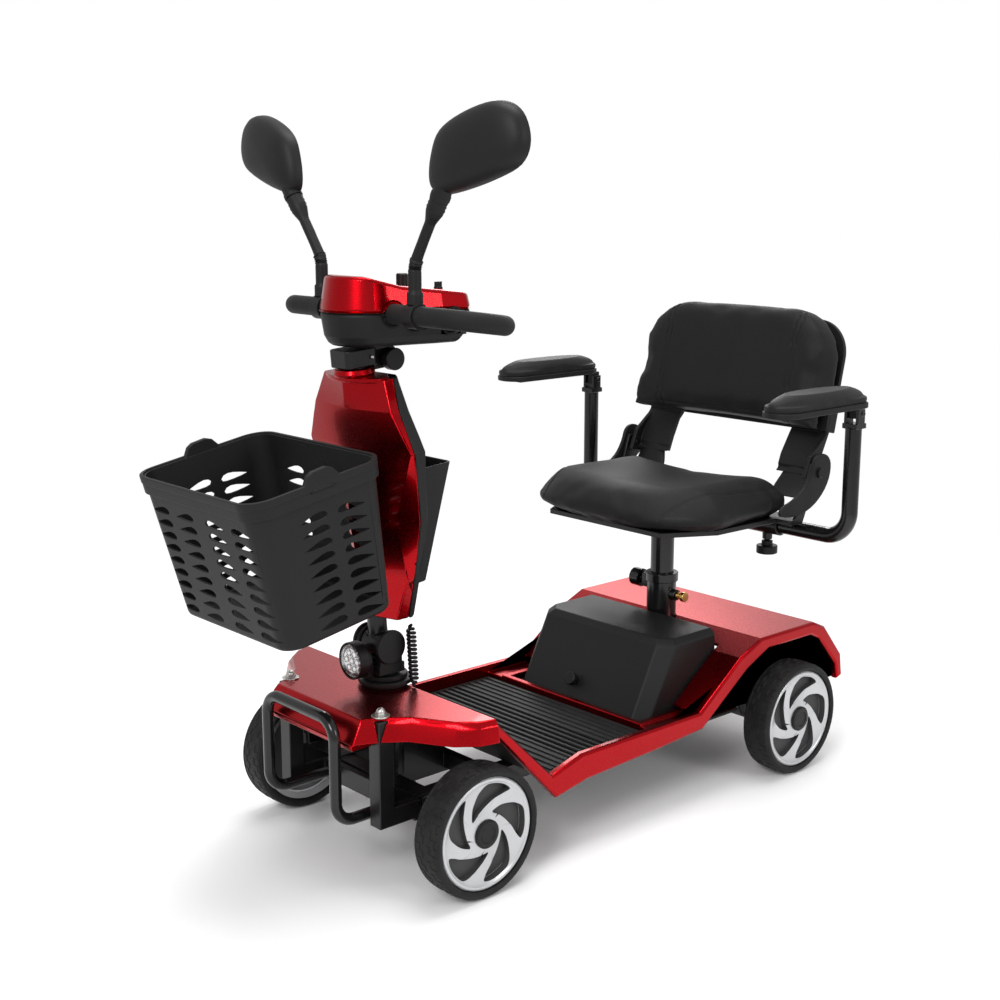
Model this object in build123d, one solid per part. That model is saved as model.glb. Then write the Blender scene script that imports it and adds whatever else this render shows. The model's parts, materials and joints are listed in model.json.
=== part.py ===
from build123d import *
import os
from math import cos, hypot, radians, sin

# Four-wheel mobility scooter, millimetres. The front faces -Y, +X is the rider's left, +Z is up.
# Everything is laid out from the front axle (y = 0) and is moved by AXLE_TO_ORIGIN and GROUND when
# it is written, so that the origin lies on the ground under the middle of the machine.

AXLE_TO_ORIGIN = 266.0
GROUND = 6.0
WHEELBASE = 655.0

# wheels
WHEEL_R = 90.0
AXLE_Z = WHEEL_R + GROUND
TYRE_WIDTH = 50.0
RIM_R = 77.0
FRONT_TRACK_HALF = 203.0
REAR_TRACK_HALF = 211.0
AXLE_R = 8.0
STUB = 18.0
FIT = 0.05

# steering
KINGPIN_X = 186.0
STEER_Y = 8.0
STEER_ARM = 42.0
SHAFT_R = 12.5

# body
BODY_HALF = 200.0
BOX_HALF = 140.0
DECK_Z = 245.0
FLOOR_Z = 126.0
REAR_DECK_Z = 234.0
SHEET = 4.0

# tiller
PIVOT_Y, PIVOT_Z = -2.0, 305.0
LEAN = 5.0

# seat
POST_Y = 580.0
POST_R = 19.0
SEAT_Z = 412.0
ARM_Y = 694.0
ARM_Z = 391.0
ARM_TUBE_R = 12.5
ARM_X = 279.0
HINGE_Y, HINGE_Z = 715.0, 482.0

parts = {}


# ---------------------------------------------------------------- helpers

def block(x0, x1, y0, y1, z0, z1):
    return Pos((x0 + x1) / 2, (y0 + y1) / 2, (z0 + z1) / 2) * Box(x1 - x0, y1 - y0, z1 - z0)


def rod(start, end, radius):
    """A round bar between two points."""
    a, b = Vector(*start), Vector(*end)
    plane = Plane(origin=a, z_dir=b - a)
    return extrude(plane * Circle(radius), (b - a).length)


def ring(start, end, outer, inner):
    a, b = Vector(*start), Vector(*end)
    plane = Plane(origin=a, z_dir=b - a)
    return extrude(plane * (Circle(outer) - Circle(inner)), (b - a).length)


def side_slab(outline, x0, x1):
    """An outline of (y, z) points carried from x0 to x1."""
    face = Plane.YZ * make_face(Polyline(*outline, close=True))
    return Pos(x0, 0, 0) * extrude(face, x1 - x0)


def plan_slab(outline, z0, z1):
    return Pos(0, 0, z0) * extrude(make_face(Polyline(*outline, close=True)), z1 - z0)


def stack(sections):
    """A faceted solid through flat (x, y) outlines, each at its own height."""
    faces = [Pos(0, 0, z) * make_face(Polyline(*outline, close=True)) for z, outline in sections]
    return loft(faces, ruled=True)


def bent_tube(points, bends, radius):
    path = FilletPolyline(*points, radius=bends)
    start = Vector(*points[0])
    plane = Plane(origin=start, z_dir=Vector(*points[1]) - start)
    return sweep(plane * Circle(radius), path=path)


def both_sides(half):
    return half + mirror(half, about=Plane.YZ)


def mirrored(shape):
    return mirror(shape, about=Plane.YZ)


def symmetric(half_outline):
    """Closes an outline of points with x >= 0, from front to back, over the centre plane."""
    left = [(-x, y) for x, y in reversed(half_outline) if x > 0]
    return list(half_outline) + left


# ---------------------------------------------------------------- chassis

RAIL_IN, RAIL_OUT = 82.5, 107.5
RAIL_Z0, RAIL_Z1 = 92.0, 117.0
RAIL_FRONT, RAIL_REAR = -24.0, 618.0
BOLT_X, BOLT_Y = 104.0, -80.0
POST_TOP = DECK_Z - SHEET
BEAM_Z = AXLE_Z
YOKE_HALF = 38.0


def main_frame():
    rail = block(RAIL_IN, RAIL_OUT, RAIL_FRONT, RAIL_REAR, RAIL_Z0, RAIL_Z1)
    outrigger = block(RAIL_IN + 10, RAIL_OUT + 8, BOLT_Y - 12, RAIL_FRONT + 1, RAIL_Z0, RAIL_Z1)
    cowl_post = block(RAIL_IN + 10, RAIL_OUT + 8, BOLT_Y - 12, BOLT_Y + 12, RAIL_Z0, POST_TOP)
    brace = side_slab([(BOLT_Y + 10, RAIL_Z1), (BOLT_Y + 10, 150), (-20, RAIL_Z1)], 96, 102)
    rear_post = block(60, 72, 600, RAIL_REAR, RAIL_Z0, REAR_DECK_Z - SHEET)
    yoke = block(160, 168, -14, 14, BEAM_Z - YOKE_HALF, BEAM_Z + YOKE_HALF)
    for z0 in (BEAM_Z - YOKE_HALF, BEAM_Z + YOKE_HALF - 8):
        yoke += block(160, KINGPIN_X, -12, 12, z0, z0 + 8)
        yoke += Pos(KINGPIN_X, 0, z0 + 4) * Cylinder(12, 8)
    yoke -= rod((KINGPIN_X, 0, 0), (KINGPIN_X, 0, 200), AXLE_R + FIT)
    half = rail + outrigger + cowl_post + brace + rear_post + yoke
    frame = both_sides(half)
    frame += block(-165, 165, -14, 14, 86, 114)
    frame += block(-RAIL_OUT - 8, RAIL_OUT + 8, -34, RAIL_FRONT, 88, RAIL_Z1)
    for y0, y1 in ((230, 250), (556, 604), (604, RAIL_REAR)):
        frame += block(-RAIL_OUT, RAIL_OUT, y0, y1, RAIL_Z0, RAIL_Z1)
    frame += rod((0, STEER_Y, 100), (0, STEER_Y, POST_TOP), 25)
    gusset = side_slab([(30, 86), (30, 200), (120, RAIL_Z1), (120, 86)], -3, 3)
    frame += gusset
    frame += block(-RAIL_OUT, RAIL_OUT, 110, 124, RAIL_Z0, RAIL_Z1)
    frame -= rod((0, STEER_Y, 60), (0, STEER_Y, 260), SHAFT_R + FIT)
    for x in (-BOLT_X, BOLT_X):
        frame -= rod((x, BOLT_Y, POST_TOP - 12), (x, BOLT_Y, 260), 4)
    return frame


COWL_TOP = [(96, -107), (110, -82), (133, -52), (186, -21), (205, 2), (212, 26)]
COWL_LIP = [(99, -112), (114, -85), (137, -56), (190, -26), (211, -1), (218, 26)]
COWL_EDGE = [(101, -124), (117, -90), (139, -61), (192, -31), (214, -3), (221, 26)]


def front_cowl():
    def outline(half, inset=0.0, rear=26.0):
        pulled = [(x - inset, min(y + inset, rear)) for x, y in half]
        return symmetric(pulled)

    wall = 3.0
    top = DECK_Z
    outer = stack([(214, outline(COWL_EDGE)), (top - 8, outline(COWL_LIP))])
    outer += stack([(top - 8, outline(COWL_LIP)), (top, outline(COWL_TOP))])
    inner = stack([(213, outline(COWL_EDGE, wall)), (top - 8.5, outline(COWL_LIP, wall))])
    inner += block(-70, 70, -104, 20, 213, top - SHEET)
    nose = side_slab([(-90, 214), (-128, 214), (-125, 206), (-90, 206)], -101, 101)
    nose -= block(-98, 98, -121.5, -80, 200, 214)
    cowl = outer - inner + nose
    cowl -= block(-116.5, 116.5, -92.5, -67.5, 200, POST_TOP)
    cowl -= rod((0, STEER_Y, 200), (0, STEER_Y, 260), 26)
    for x in (-BOLT_X, BOLT_X):
        cowl -= rod((x, BOLT_Y, 200), (x, BOLT_Y, 260), 4)
    return cowl


# one strip runs down from the cowl, along the floor, and over the rear wheel
STRIP = [(37, 215), (150, 95), (210, 106), (360, 112), (457, 118), (560, 190), (611, 213), (720, 213),
         (744, 203), (790, 152), (797, 122), (811, 126), (805, 165), (757, 221), (727, 234), (593, 234),
         (543, 213), (451, 146), (359, 146), (200, 147), (142, 131), (38, 234)]
DECK = [(543, 213), (593, 234), (727, 234), (757, 221), (805, 165), (811, 126), (807, 125), (801, 163),
        (755, 217), (726, 230), (594, 230), (545, 209)]


def body_shell():
    strip = side_slab(STRIP, BODY_HALF - 12, BODY_HALF)
    strip = chamfer(strip.edges().filter_by(Plane.YZ).group_by(Axis.X)[-1], 3)
    shell = both_sides(strip)
    deck = side_slab(DECK, -BODY_HALF + 8, BODY_HALF - 8)
    deck -= rod((0, POST_Y, 200), (0, POST_Y, 260), 24.5)
    deck -= block(-BOX_HALF - 3, BOX_HALF + 3, 500, 557, 200, 240)
    shoulder = side_slab([(451, 146), (543, 213), (545, 209), (453, 142)], BOX_HALF + 4,
                         BODY_HALF - 8)
    rim = block(BOX_HALF + 3.5, BOX_HALF + 15, 376, 556, FLOOR_Z + 1, 137)
    shell += deck + both_sides(shoulder) + both_sides(rim)
    shell += block(-BOX_HALF - 15, BOX_HALF + 15, 366, 376, FLOOR_Z + 1, 137)
    floor_lip = block(BOX_HALF + 14, BODY_HALF - 8, 366, 451, FLOOR_Z + 1, 134)
    return shell + both_sides(floor_lip)


def floor_tray():
    half = BODY_HALF - 12.3
    profile = [(40, 228), (143, FLOOR_Z - SHEET), (555, FLOOR_Z - SHEET), (555, FLOOR_Z), (146, FLOOR_Z),
               (44, 229)]
    return side_slab(profile, -half, half)


MAT_FRONT, MAT_REAR = 152.0, 364.0


def floor_mat():
    outline = symmetric([(184, MAT_FRONT), (186, 200), (186, MAT_REAR)])
    mat = plan_slab(outline, FLOOR_Z, FLOOR_Z + 2)
    pitch = 13.0
    y = MAT_FRONT + 8
    while y < MAT_REAR - 6:
        mat += block(-178, 178, y - 3, y + 3, FLOOR_Z + 1, FLOOR_Z + 4)
        y += pitch
    return mat


BUMPER_X, BUMPER_Y, BUMPER_R = 78.0, -136.0, 8.0


def bumper():
    low, high, back = 102.5, 244.0, -34.0
    points = [(BUMPER_X, back, low), (BUMPER_X, BUMPER_Y, low), (BUMPER_X, BUMPER_Y, high),
              (-BUMPER_X, BUMPER_Y, high), (-BUMPER_X, BUMPER_Y, low), (-BUMPER_X, back, low)]
    return bent_tube(points, 28, BUMPER_R)


def cowl_bolts():
    bolts = []
    for x in (-BOLT_X, BOLT_X):
        washer = Pos(x, BOLT_Y, DECK_Z + 1) * Cylinder(12, 2)
        nut = extrude(Pos(x, BOLT_Y, DECK_Z + 2) * RegularPolygon(7.5, 6), 4)
        dome = Pos(x, BOLT_Y, DECK_Z + 6) * Sphere(6) & block(x - 9, x + 9, -90, -70, DECK_Z + 5, 270)
        shank = rod((x, BOLT_Y, POST_TOP - 12), (x, BOLT_Y, DECK_Z + 1), 3.8)
        bolts.append(washer + nut + dome + shank)
    return bolts[0] + bolts[1]


SOCKET_TOP = 306.0


def seat_socket():
    tube = ring((0, POST_Y, RAIL_Z1), (0, POST_Y, SOCKET_TOP), 24, POST_R + FIT)
    tube += ring((0, POST_Y, SOCKET_TOP - 14), (0, POST_Y, SOCKET_TOP), 27, POST_R + FIT)
    ear = block(-36, -23, POST_Y - 9, POST_Y + 9, SOCKET_TOP - 30, SOCKET_TOP - 8)
    ear -= rod((0, POST_Y, 0), (0, POST_Y, 400), POST_R + 2)
    knob = rod((-60, POST_Y, SOCKET_TOP - 19), (-42, POST_Y, SOCKET_TOP - 19), 15)
    knob += rod((-43, POST_Y, SOCKET_TOP - 19), (-35, POST_Y, SOCKET_TOP - 19), 5)
    boss = rod((22, POST_Y, 272), (34, POST_Y, 272), 9)
    boss -= rod((0, POST_Y, 0), (0, POST_Y, 400), POST_R + 2)
    boss -= rod((18, POST_Y, 272), (40, POST_Y, 272), 3 + FIT)
    tube -= rod((18, POST_Y, 272), (40, POST_Y, 272), 3 + FIT)
    return tube + ear + boss + knob


def seat_pin():
    pin = rod((19.6, POST_Y, 272), (46, POST_Y, 272), 3)
    pin += rod((34.4, POST_Y, 272), (39, POST_Y, 272), 6)
    return pin + rod((45, POST_Y, 272), (52, POST_Y, 272), 8)


def transaxle():
    y, z = WHEELBASE, AXLE_Z
    housing = block(-34, 34, RAIL_REAR, y + 46, 64, 140)
    housing = fillet(housing.edges().filter_by(Axis.X), 10)
    axle_end = REAR_TRACK_HALF + STUB
    axle = rod((-172, y, z), (172, y, z), 17) + rod((-axle_end, y, z), (axle_end, y, z), AXLE_R)
    motor = rod((34, y, z + 12), (134, y, z + 12), 36) + rod((134, y, z + 12), (146, y, z + 12), 30)
    return housing + axle + motor


def controller():
    case = block(-60, 60, 628, 715, 198, 230)
    case = fillet(case.edges().filter_by(Axis.Z), 6)
    for i in range(6):
        case -= block(-64, 64, 636 + 13 * i, 642 + 13 * i, 197, 201)
    return case


def base_ring():
    flange = ring((0, STEER_Y, DECK_Z), (0, STEER_Y, DECK_Z + 4), 33, 20)
    return flange + ring((0, STEER_Y, DECK_Z + 4), (0, STEER_Y, DECK_Z + 10), 38, 20)


# ---------------------------------------------------------------- battery box

BOX_REAR = 552.0


def box_outline(front, corner, half, inset=0.0):
    return symmetric([(half - 20 - inset, front + inset), (half - inset, front + corner + inset),
                      (half - inset, BOX_REAR - inset)])


def battery_cover():
    base, shoulder, top = FLOOR_Z + 0.5, 236.0, DECK_Z
    wall = 3.0
    half = BOX_HALF
    outer = stack([(base, box_outline(380, 22, half)), (shoulder, box_outline(436, 22, half))])
    outer += stack([(shoulder, box_outline(436, 22, half)), (top, box_outline(446, 20, half - 9))])
    inner = stack([(base + wall, box_outline(381.5, 22, half, wall)),
                   (shoulder, box_outline(436, 22, half, wall))])
    return outer - inner


def batteries():
    pack = block(6, 118, 462, 548, FLOOR_Z + 4, 226)
    pack = fillet(pack.edges().filter_by(Axis.Z), 5)
    return both_sides(pack)


KNOB_X, KNOB_Y, KNOB_Z = -14.0, 393.0, 157.0
FACE_RISE, FACE_RUN = 110.0, 56.0


def cover_knob():
    length = hypot(FACE_RISE, FACE_RUN)
    out = Vector(0, -FACE_RISE / length, FACE_RUN / length)
    foot = Vector(KNOB_X, 380.0 + (KNOB_Z - FLOOR_Z) * FACE_RUN / FACE_RISE, KNOB_Z) + out * 1.0
    neck = foot + out * 5
    tip = foot + out * 14
    return rod(tuple(foot), tuple(neck), 6) + rod(tuple(neck), tuple(tip), 10.5)


# ---------------------------------------------------------------- steering and wheels

def knuckle():
    x, z = KINGPIN_X, BEAM_Z
    body = rod((x, 0, z - YOKE_HALF + 8.4), (x, 0, z + YOKE_HALF - 8.4), 13)
    body += rod((x, 0, z - YOKE_HALF - 3), (x, 0, z + YOKE_HALF + 3), AXLE_R)
    body += rod((x, 0, z), (FRONT_TRACK_HALF + STUB, 0, z), AXLE_R)
    arm = block(x - 6, x + 6, 8, STEER_ARM, z - 24, z - 16)
    arm += Pos(x, STEER_ARM, z - 20) * Cylinder(8, 8)
    arm -= rod((x, STEER_ARM, z - 60), (x, STEER_ARM, z + 60), 4.5)
    return body + arm


def tie_rod():
    z = BEAM_Z - 30
    bar = rod((-KINGPIN_X, STEER_ARM, z), (KINGPIN_X, STEER_ARM, z), 5)
    for x in (-KINGPIN_X, KINGPIN_X):
        bar += rod((x, STEER_ARM, z - 5.5), (x, STEER_ARM, z + 5.5), 7)
        bar += rod((x, STEER_ARM, z), (x, STEER_ARM, z + 18), 4)
    lug = block(-7, 7, STEER_ARM, STEER_ARM + STEER_Y, z - 4, z + 4)
    lug += Pos(0, STEER_ARM + STEER_Y, z) * Cylinder(9, 8)
    return bar + lug - rod((0, STEER_ARM + STEER_Y, 0), (0, STEER_ARM + STEER_Y, 200), 4 + FIT)


def tyre(x, y):
    half = TYRE_WIDTH / 2
    half_crown = [(RIM_R - 7, half - 10), (RIM_R + 0.2, half - 10), (RIM_R + 2, half - 1), (RIM_R + 7, half),
                  (WHEEL_R - 2.5, half - 4), (WHEEL_R, half - 13)]
    crown = [(r, -w) for r, w in half_crown] + half_crown[::-1]
    face = make_face(Polyline(*crown, close=True))
    body = revolve(Plane.XY * face, Axis.Y)
    return Pos(x, y, AXLE_Z) * Rot(0, 0, 90) * body


def wheel(x, y, side):
    """A dished rim with five openings, its disc near the outer face."""
    half = TYRE_WIDTH / 2
    barrel = Cylinder(RIM_R - 7.2, 2 * half - 14) - Cylinder(RIM_R - 12, 2 * half)
    lip = Pos(0, 0, half - 6) * (Cylinder(RIM_R - 0.2, 2) - Cylinder(RIM_R - 12, 2))
    disc = Pos(0, 0, half - 11) * Cylinder(RIM_R - 11, 8)
    opening = extrude(make_face(Polyline((24, -10), (56, -17), (61, 14), (40, 12), close=True)), 40)
    for i in range(5):
        disc -= Rot(0, 0, 72 * i) * opening
    hub = Pos(0, 0, half - 15) * Cylinder(21, 26)
    cap = Pos(0, 0, half - 3.5) * Cylinder(19, 5)
    body = barrel + lip + disc + hub
    body -= Pos(0, 0, half - 17) * Cylinder(AXLE_R + FIT, 34)
    solid = body + cap
    turn = Rot(0, 90 * side, 0)
    return Pos(x, y, AXLE_Z) * turn * solid


def steering_stem():
    shaft = rod((0, STEER_Y, 62), (0, STEER_Y, DECK_Z + 12), SHAFT_R)
    arm = block(-9, 9, STEER_Y, STEER_Y + STEER_ARM, 76, 85)
    arm += rod((0, STEER_Y + STEER_ARM, 76), (0, STEER_Y + STEER_ARM, 85), 9)
    arm += rod((0, STEER_Y + STEER_ARM, 60), (0, STEER_Y + STEER_ARM, 79), 4)
    flange = rod((0, STEER_Y, DECK_Z + 10.4), (0, STEER_Y, DECK_Z + 17), 31)
    neck = rod((0, STEER_Y, DECK_Z + 17), (0, STEER_Y, PIVOT_Z - 26), 19)
    cheek = rod((16.5, PIVOT_Y, PIVOT_Z), (24, PIVOT_Y, PIVOT_Z), 22)
    cheek += block(16.5, 24, PIVOT_Y - 16, PIVOT_Y + 22, PIVOT_Z - 34, PIVOT_Z - 6)
    cap = rod((24, PIVOT_Y, PIVOT_Z), (29, PIVOT_Y, PIVOT_Z), 24)
    saddle = block(-24, 24, PIVOT_Y - 18, PIVOT_Y + 26, PIVOT_Z - 40, PIVOT_Z - 26)
    pin = rod((-17, PIVOT_Y, PIVOT_Z), (17, PIVOT_Y, PIVOT_Z), 6)
    lamp_arm = block(-9, 9, -28, -18, 262, 284)
    return shaft + arm + flange + neck + both_sides(cheek + cap) + saddle + pin + lamp_arm


LAMP_Y, LAMP_Z = -52.0, 289.0


def headlight():
    case = rod((0, -28, LAMP_Z), (0, -38, LAMP_Z), 20) + rod((0, -36, LAMP_Z), (0, LAMP_Y, LAMP_Z), 26)
    return case - rod((0, -44, LAMP_Z), (0, LAMP_Y - 5, LAMP_Z), 23)


def headlight_lens():
    return rod((0, -44, LAMP_Z), (0, LAMP_Y, LAMP_Z), 22.7)


# ---------------------------------------------------------------- tiller, in its own frame
# (x, v, u): u runs up the column from the fold pivot, v runs backwards

def on_tiller(shape):
    return Pos(0, PIVOT_Y, PIVOT_Z) * Rot(LEAN, 0, 0) * shape


NECK_U = 388.0
BLOCK_U = 412.0


def tiller_tube():
    boss = rod((-15.8, 0, 0), (15.8, 0, 0), 20) - rod((-17, 0, 0), (17, 0, 0), 6 + FIT)
    column = rod((0, 0, 14), (0, 0, NECK_U), 13.5)
    column -= rod((-17, 0, 0), (17, 0, 0), 6 + FIT)
    head = block(-22, 22, -24, 26, NECK_U, BLOCK_U)
    head = fillet(head.edges().filter_by(Axis.Z), 8)
    knob_lug = block(-12, 12, 24, 62, NECK_U - 8, BLOCK_U - 6)
    bracket = rod((0, -10, 190), (0, -55, 190), 8) + block(-30, 30, -58, -54, 140, 235)
    return on_tiller(boss + column + head + knob_lug + bracket)


def tiller_knob():
    v, z = 48, NECK_U + 4
    grip = rod((17, v, z), (30, v, z), 15) + rod((12.4, v, z), (18, v, z), 7)
    return on_tiller(grip)


# front ridge v, front corner (x, v), side corner (x, v), at each height u
SHROUD = [(376, -20, (66, -2), (66, 12)), (335, -21, (84, -9), (84, 5)), (283, -19, (111, -3), (113, 2)),
          (190, -31, (74, -8), (106, 8)), (105, -22, (78, -1), (79, 10)), (46, -18, (54, -6), (58, 11))]
SHROUD_REAR = 32.0


def shroud_front():
    def outline(ridge, corner, side, wall):
        half = [(0, ridge + wall), (corner[0] - wall, corner[1] + wall * 0.8),
                (side[0] - wall, side[1] if wall == 0 else 30)]
        if wall:
            return symmetric(half)
        return symmetric(half + [(side[0] - 3, side[1]), (0, side[1])])

    solids, hollows = [], []
    for upper, lower in zip(SHROUD, SHROUD[1:]):
        levels = [(lower[0], outline(*lower[1:], 0.0)), (upper[0], outline(*upper[1:], 0.0))]
        solids.append(stack(levels))
        low = lower[0] - (4 if lower is SHROUD[-1] else 0)
        high = upper[0] + (4 if upper is SHROUD[0] else 0)
        hollows.append(stack([(low, outline(*lower[1:], 3.0)), (high, outline(*upper[1:], 3.0))]))
    shell = solids[0]
    for solid in solids[1:]:
        shell += solid
    for hollow in hollows:
        shell -= hollow
    shell -= rod((0, -60, 190), (0, 0, 190), 9)
    return on_tiller(shell)


def shroud_back():
    def outline(side, wall):
        x, v = side
        rear = SHROUD_REAR - wall
        return symmetric([(0, v + 0.4 - (20 if wall else 0)), (x - wall, v + 0.4 - (20 if wall else 0)),
                          (x - wall, rear - 12), (x * 0.75 - wall, rear), (0, rear)])

    shell = None
    for upper, lower in zip(SHROUD, SHROUD[1:]):
        solid = stack([(lower[0], outline(lower[3], 0.0)), (upper[0], outline(upper[3], 0.0))])
        low = lower[0] - (4 if lower is SHROUD[-1] else 0)
        high = upper[0] + (4 if upper is SHROUD[0] else 0)
        solid -= stack([(low, outline(lower[3], 3.0)), (high, outline(upper[3], 3.0))])
        shell = solid if shell is None else shell + solid
    return on_tiller(shell)


# ---------------------------------------------------------------- console and handles

SPLIT_Z = 764.0
CONSOLE_BOTTOM = 719.0


NOSE_Y, NOSE_R = -17.0, 58.0
TOP_LINE = [(-140, 813), (-44, 810), (4, 797), (140, 781)]


def console_outline(inset):
    """The console in plan: a round nose, then straight sides that widen to the rear."""
    radius = NOSE_R - inset
    nose = [(radius * cos(radians(a)), NOSE_Y + radius * sin(radians(a))) for a in (-72, -54, -38, -23)]
    sides = [(60 - inset, 0), (70 - inset, 60), (72 - inset, 104 - inset), (58 - inset, 118 - inset)]
    return symmetric([(0, NOSE_Y - radius)] + nose + sides)


def console_stack(*levels):
    """A faceted solid through console outlines, each given as its height and its inset."""
    solid = None
    for (z0, low), (z1, high) in zip(levels, levels[1:]):
        storey = stack([(z0, console_outline(low)), (z1, console_outline(high))])
        solid = storey if solid is None else solid + storey
    return solid


def above_top(lowered):
    line = [(y, z - lowered) for y, z in TOP_LINE]
    return side_slab(line + [(140, 830), (-140, 830)], -100, 100)


def console_lower():
    shell = console_stack((CONSOLE_BOTTOM, 12), (732, 5), (SPLIT_Z, 0))
    shell -= console_stack((CONSOLE_BOTTOM + 4, 16), (732, 9), (SPLIT_Z, 4))
    shell -= block(-90, 90, 12, 42, 742, 756)
    for y, z in HANDLE_ENDS:
        shell -= rod((-90, y, z), (90, y, z), HANDLE_R + 0.2)
    return shell


HANDLE_R = 13.0
HANDLE_FRONT, HANDLE_REAR = (-12.0, 762.0), (78.0, 749.0)
HANDLE_ENDS = (HANDLE_FRONT, HANDLE_REAR)
HANDLE_X = 198.0


def console_upper():
    outer = console_stack((SPLIT_Z, 0), (SPLIT_Z + 50, 8)) - above_top(0)
    inner = console_stack((SPLIT_Z, 4), (SPLIT_Z + 50, 12)) - above_top(4)
    shell = outer - inner
    for y, z in HANDLE_ENDS:
        shell -= rod((-90, y, z), (90, y, z), HANDLE_R + 0.2)
    for x, y, radius in ((0, DIAL_Y, 4.2), (KEY_X, KEY_Y, 6.2), (-KEY_X, KEY_Y, 8.2)):
        shell -= rod((x, y, 760), (x, y, 830), radius)
    return shell


def handlebar():
    (y0, z0), (y1, z1) = HANDLE_ENDS
    bar = None
    for side in (1, -1):
        points = [(24 * side, y0, z0), (HANDLE_X * side, y0, z0), (HANDLE_X * side, y1, z1),
                  (24 * side, y1, z1)]
        loop = bent_tube(points, 44, HANDLE_R)
        bar = loop if bar is None else bar + loop
    bar += block(-34, 34, y0 - 12, y1 + 12, 726, 738)
    for y, z in HANDLE_ENDS:
        bar += both_sides(block(20, 34, y - 8, y + 8, 730, z))
    return bar - rod((0, 27, 700), (0, 27, 760), 5 + FIT)


def throttle_lever():
    bar = block(-160, 160, 23, 31, 745, 753) + rod((0, 27, 728), (0, 27, 753), 5)
    for side in (-1, 1):
        bar += Pos(side * 142, 27, 749) * Box(40, 11, 10)
    return bar + rod((0, 27, 741), (0, 27, 757), 12)


DIAL_Y = 47.0
KEY_X, KEY_Y = 26.0, 88.0


def top_height(y):
    """Height of the console's sloping top at y, behind the nose."""
    return 797 - (y - 4) * 16 / 136


def speed_dial():
    z = top_height(DIAL_Y)
    return rod((0, DIAL_Y, z - 10), (0, DIAL_Y, z + 3), 4) + rod((0, DIAL_Y, z + 2), (0, DIAL_Y, z + 20), 8)


def key():
    z = top_height(KEY_Y)
    barrel = rod((KEY_X, KEY_Y, z - 12), (KEY_X, KEY_Y, z + 4), 6)
    return barrel + block(KEY_X - 1.2, KEY_X + 1.2, KEY_Y - 6, KEY_Y + 6, z + 3, z + 11)


def horn_button():
    z = top_height(KEY_Y)
    return rod((-KEY_X, KEY_Y, z - 8), (-KEY_X, KEY_Y, z + 6), 8)


# ---------------------------------------------------------------- mirrors

MIRROR_X, MIRROR_Y = 101.0, -12.0
STALK_BEND = (MIRROR_X, MIRROR_Y, 828.0)
NECK_TOP = (156.0, -16.0, 908.0)


def mirror_stem():
    foot_z = HANDLE_FRONT[1] + HANDLE_R
    y, z = HANDLE_FRONT
    clamp = ring((MIRROR_X - 10, y, z), (MIRROR_X + 10, y, z), 16.5, HANDLE_R + 0.1)
    foot = rod((MIRROR_X, MIRROR_Y, foot_z + 2), (MIRROR_X, MIRROR_Y, 800), 7)
    points = [(MIRROR_X, MIRROR_Y, 799), STALK_BEND, NECK_TOP]
    stalk = bent_tube(points, 18, 7)
    return clamp + foot + stalk


SHELL_OUTLINE = [(135, 926), (137, 957), (155, 990), (204, 1012), (258, 1021), (293, 1007), (306, 975),
                 (291, 948), (243, 930), (182, 916), (150, 914)]
SHELL_CENTRE = (215.0, 968.0)
SHELL_Y = -8.0
TOE = 6.0


def shell_ring(scale, depth):
    """The shell's outline, shrunk about its middle, at a depth behind the glass."""
    cx, cz = SHELL_CENTRE
    points = [((x - cx) * scale, depth, (z - cz) * scale) for x, z in SHELL_OUTLINE]
    return make_face(Spline(*points, periodic=True))


def place_shell(shape):
    return Pos(SHELL_CENTRE[0], SHELL_Y, SHELL_CENTRE[1]) * Rot(0, 0, TOE) * shape


def mirror_shell():
    rings = [shell_ring(scale, depth) for scale, depth in ((1.0, 5), (0.99, -4), (0.9, -15), (0.62, -25))]
    body = loft(rings)
    pocket = extrude(shell_ring(0.955, 5.5), 3.5, dir=(0, -1, 0))
    top = Vector(*NECK_TOP)
    along = (top - Vector(*STALK_BEND)).normalized()
    neck = rod(tuple(top + along * 0.4), tuple(top + along * 20), 8)
    return place_shell(body) + neck - place_shell(pocket)


def mirror_glass():
    return place_shell(extrude(shell_ring(0.94, 4.8), 2.5, dir=(0, -1, 0)))


# ---------------------------------------------------------------- basket, bin and coiled cord

BASKET_TILT = 10.5
BASKET_Y, BASKET_Z = -67.0, 396.0


def tub(bottom, top, height, wall, corner):
    """An open tapered tub; bottom and top are (half width, front, rear) at u = 0 and u = height."""
    def outline(size, inset):
        half, front, rear = size
        half, front, rear = half - inset, front + inset, rear - inset
        return symmetric([(half - corner, front), (half - corner * 0.3, front + corner * 0.3),
                          (half, front + corner), (half, rear - corner),
                          (half - corner * 0.3, rear - corner * 0.3), (half - corner, rear)])

    outer = stack([(0, outline(bottom, 0)), (height, outline(top, 0))])
    inner = stack([(wall, outline(bottom, wall)), (height + 0.01, outline(top, wall))])
    return outer - inner, outline


def basket():
    height, rim = 202.0, 10.0
    top = (136, -187, 10)
    shell, outline = tub((128, -170, 0), top, height, 3.0, 26)
    lip_outer = tuple(a + b for a, b in zip(top, (5, -5, 4)))
    lip = stack([(height - rim, outline(lip_outer, 0)), (height, outline(lip_outer, 0))])
    lip -= stack([(height - rim - 1, outline(top, 0.5)), (height + 1, outline(top, 0.5))])
    ear = block(134, 141, -112, -72, height - 4, height + 16)
    tilt = Pos(0, BASKET_Y, BASKET_Z) * Rot(BASKET_TILT, 0, 0)
    return tilt * (shell + lip + both_sides(ear))


def storage_bin():
    shell, outline = tub((44, 34, 60), (72, 34, 96), 165.0, 3.0, 7)
    lifted = Pos(0, 0, 84) * shell
    return on_tiller(lifted)


CORD_R = 6.4
CORD = [(38.0, 24.0, 330.0), (42.0, 26.0, 246.0)]


def coil_cord():
    return rod(CORD[0], CORD[1], CORD_R)


# ---------------------------------------------------------------- seat

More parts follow.
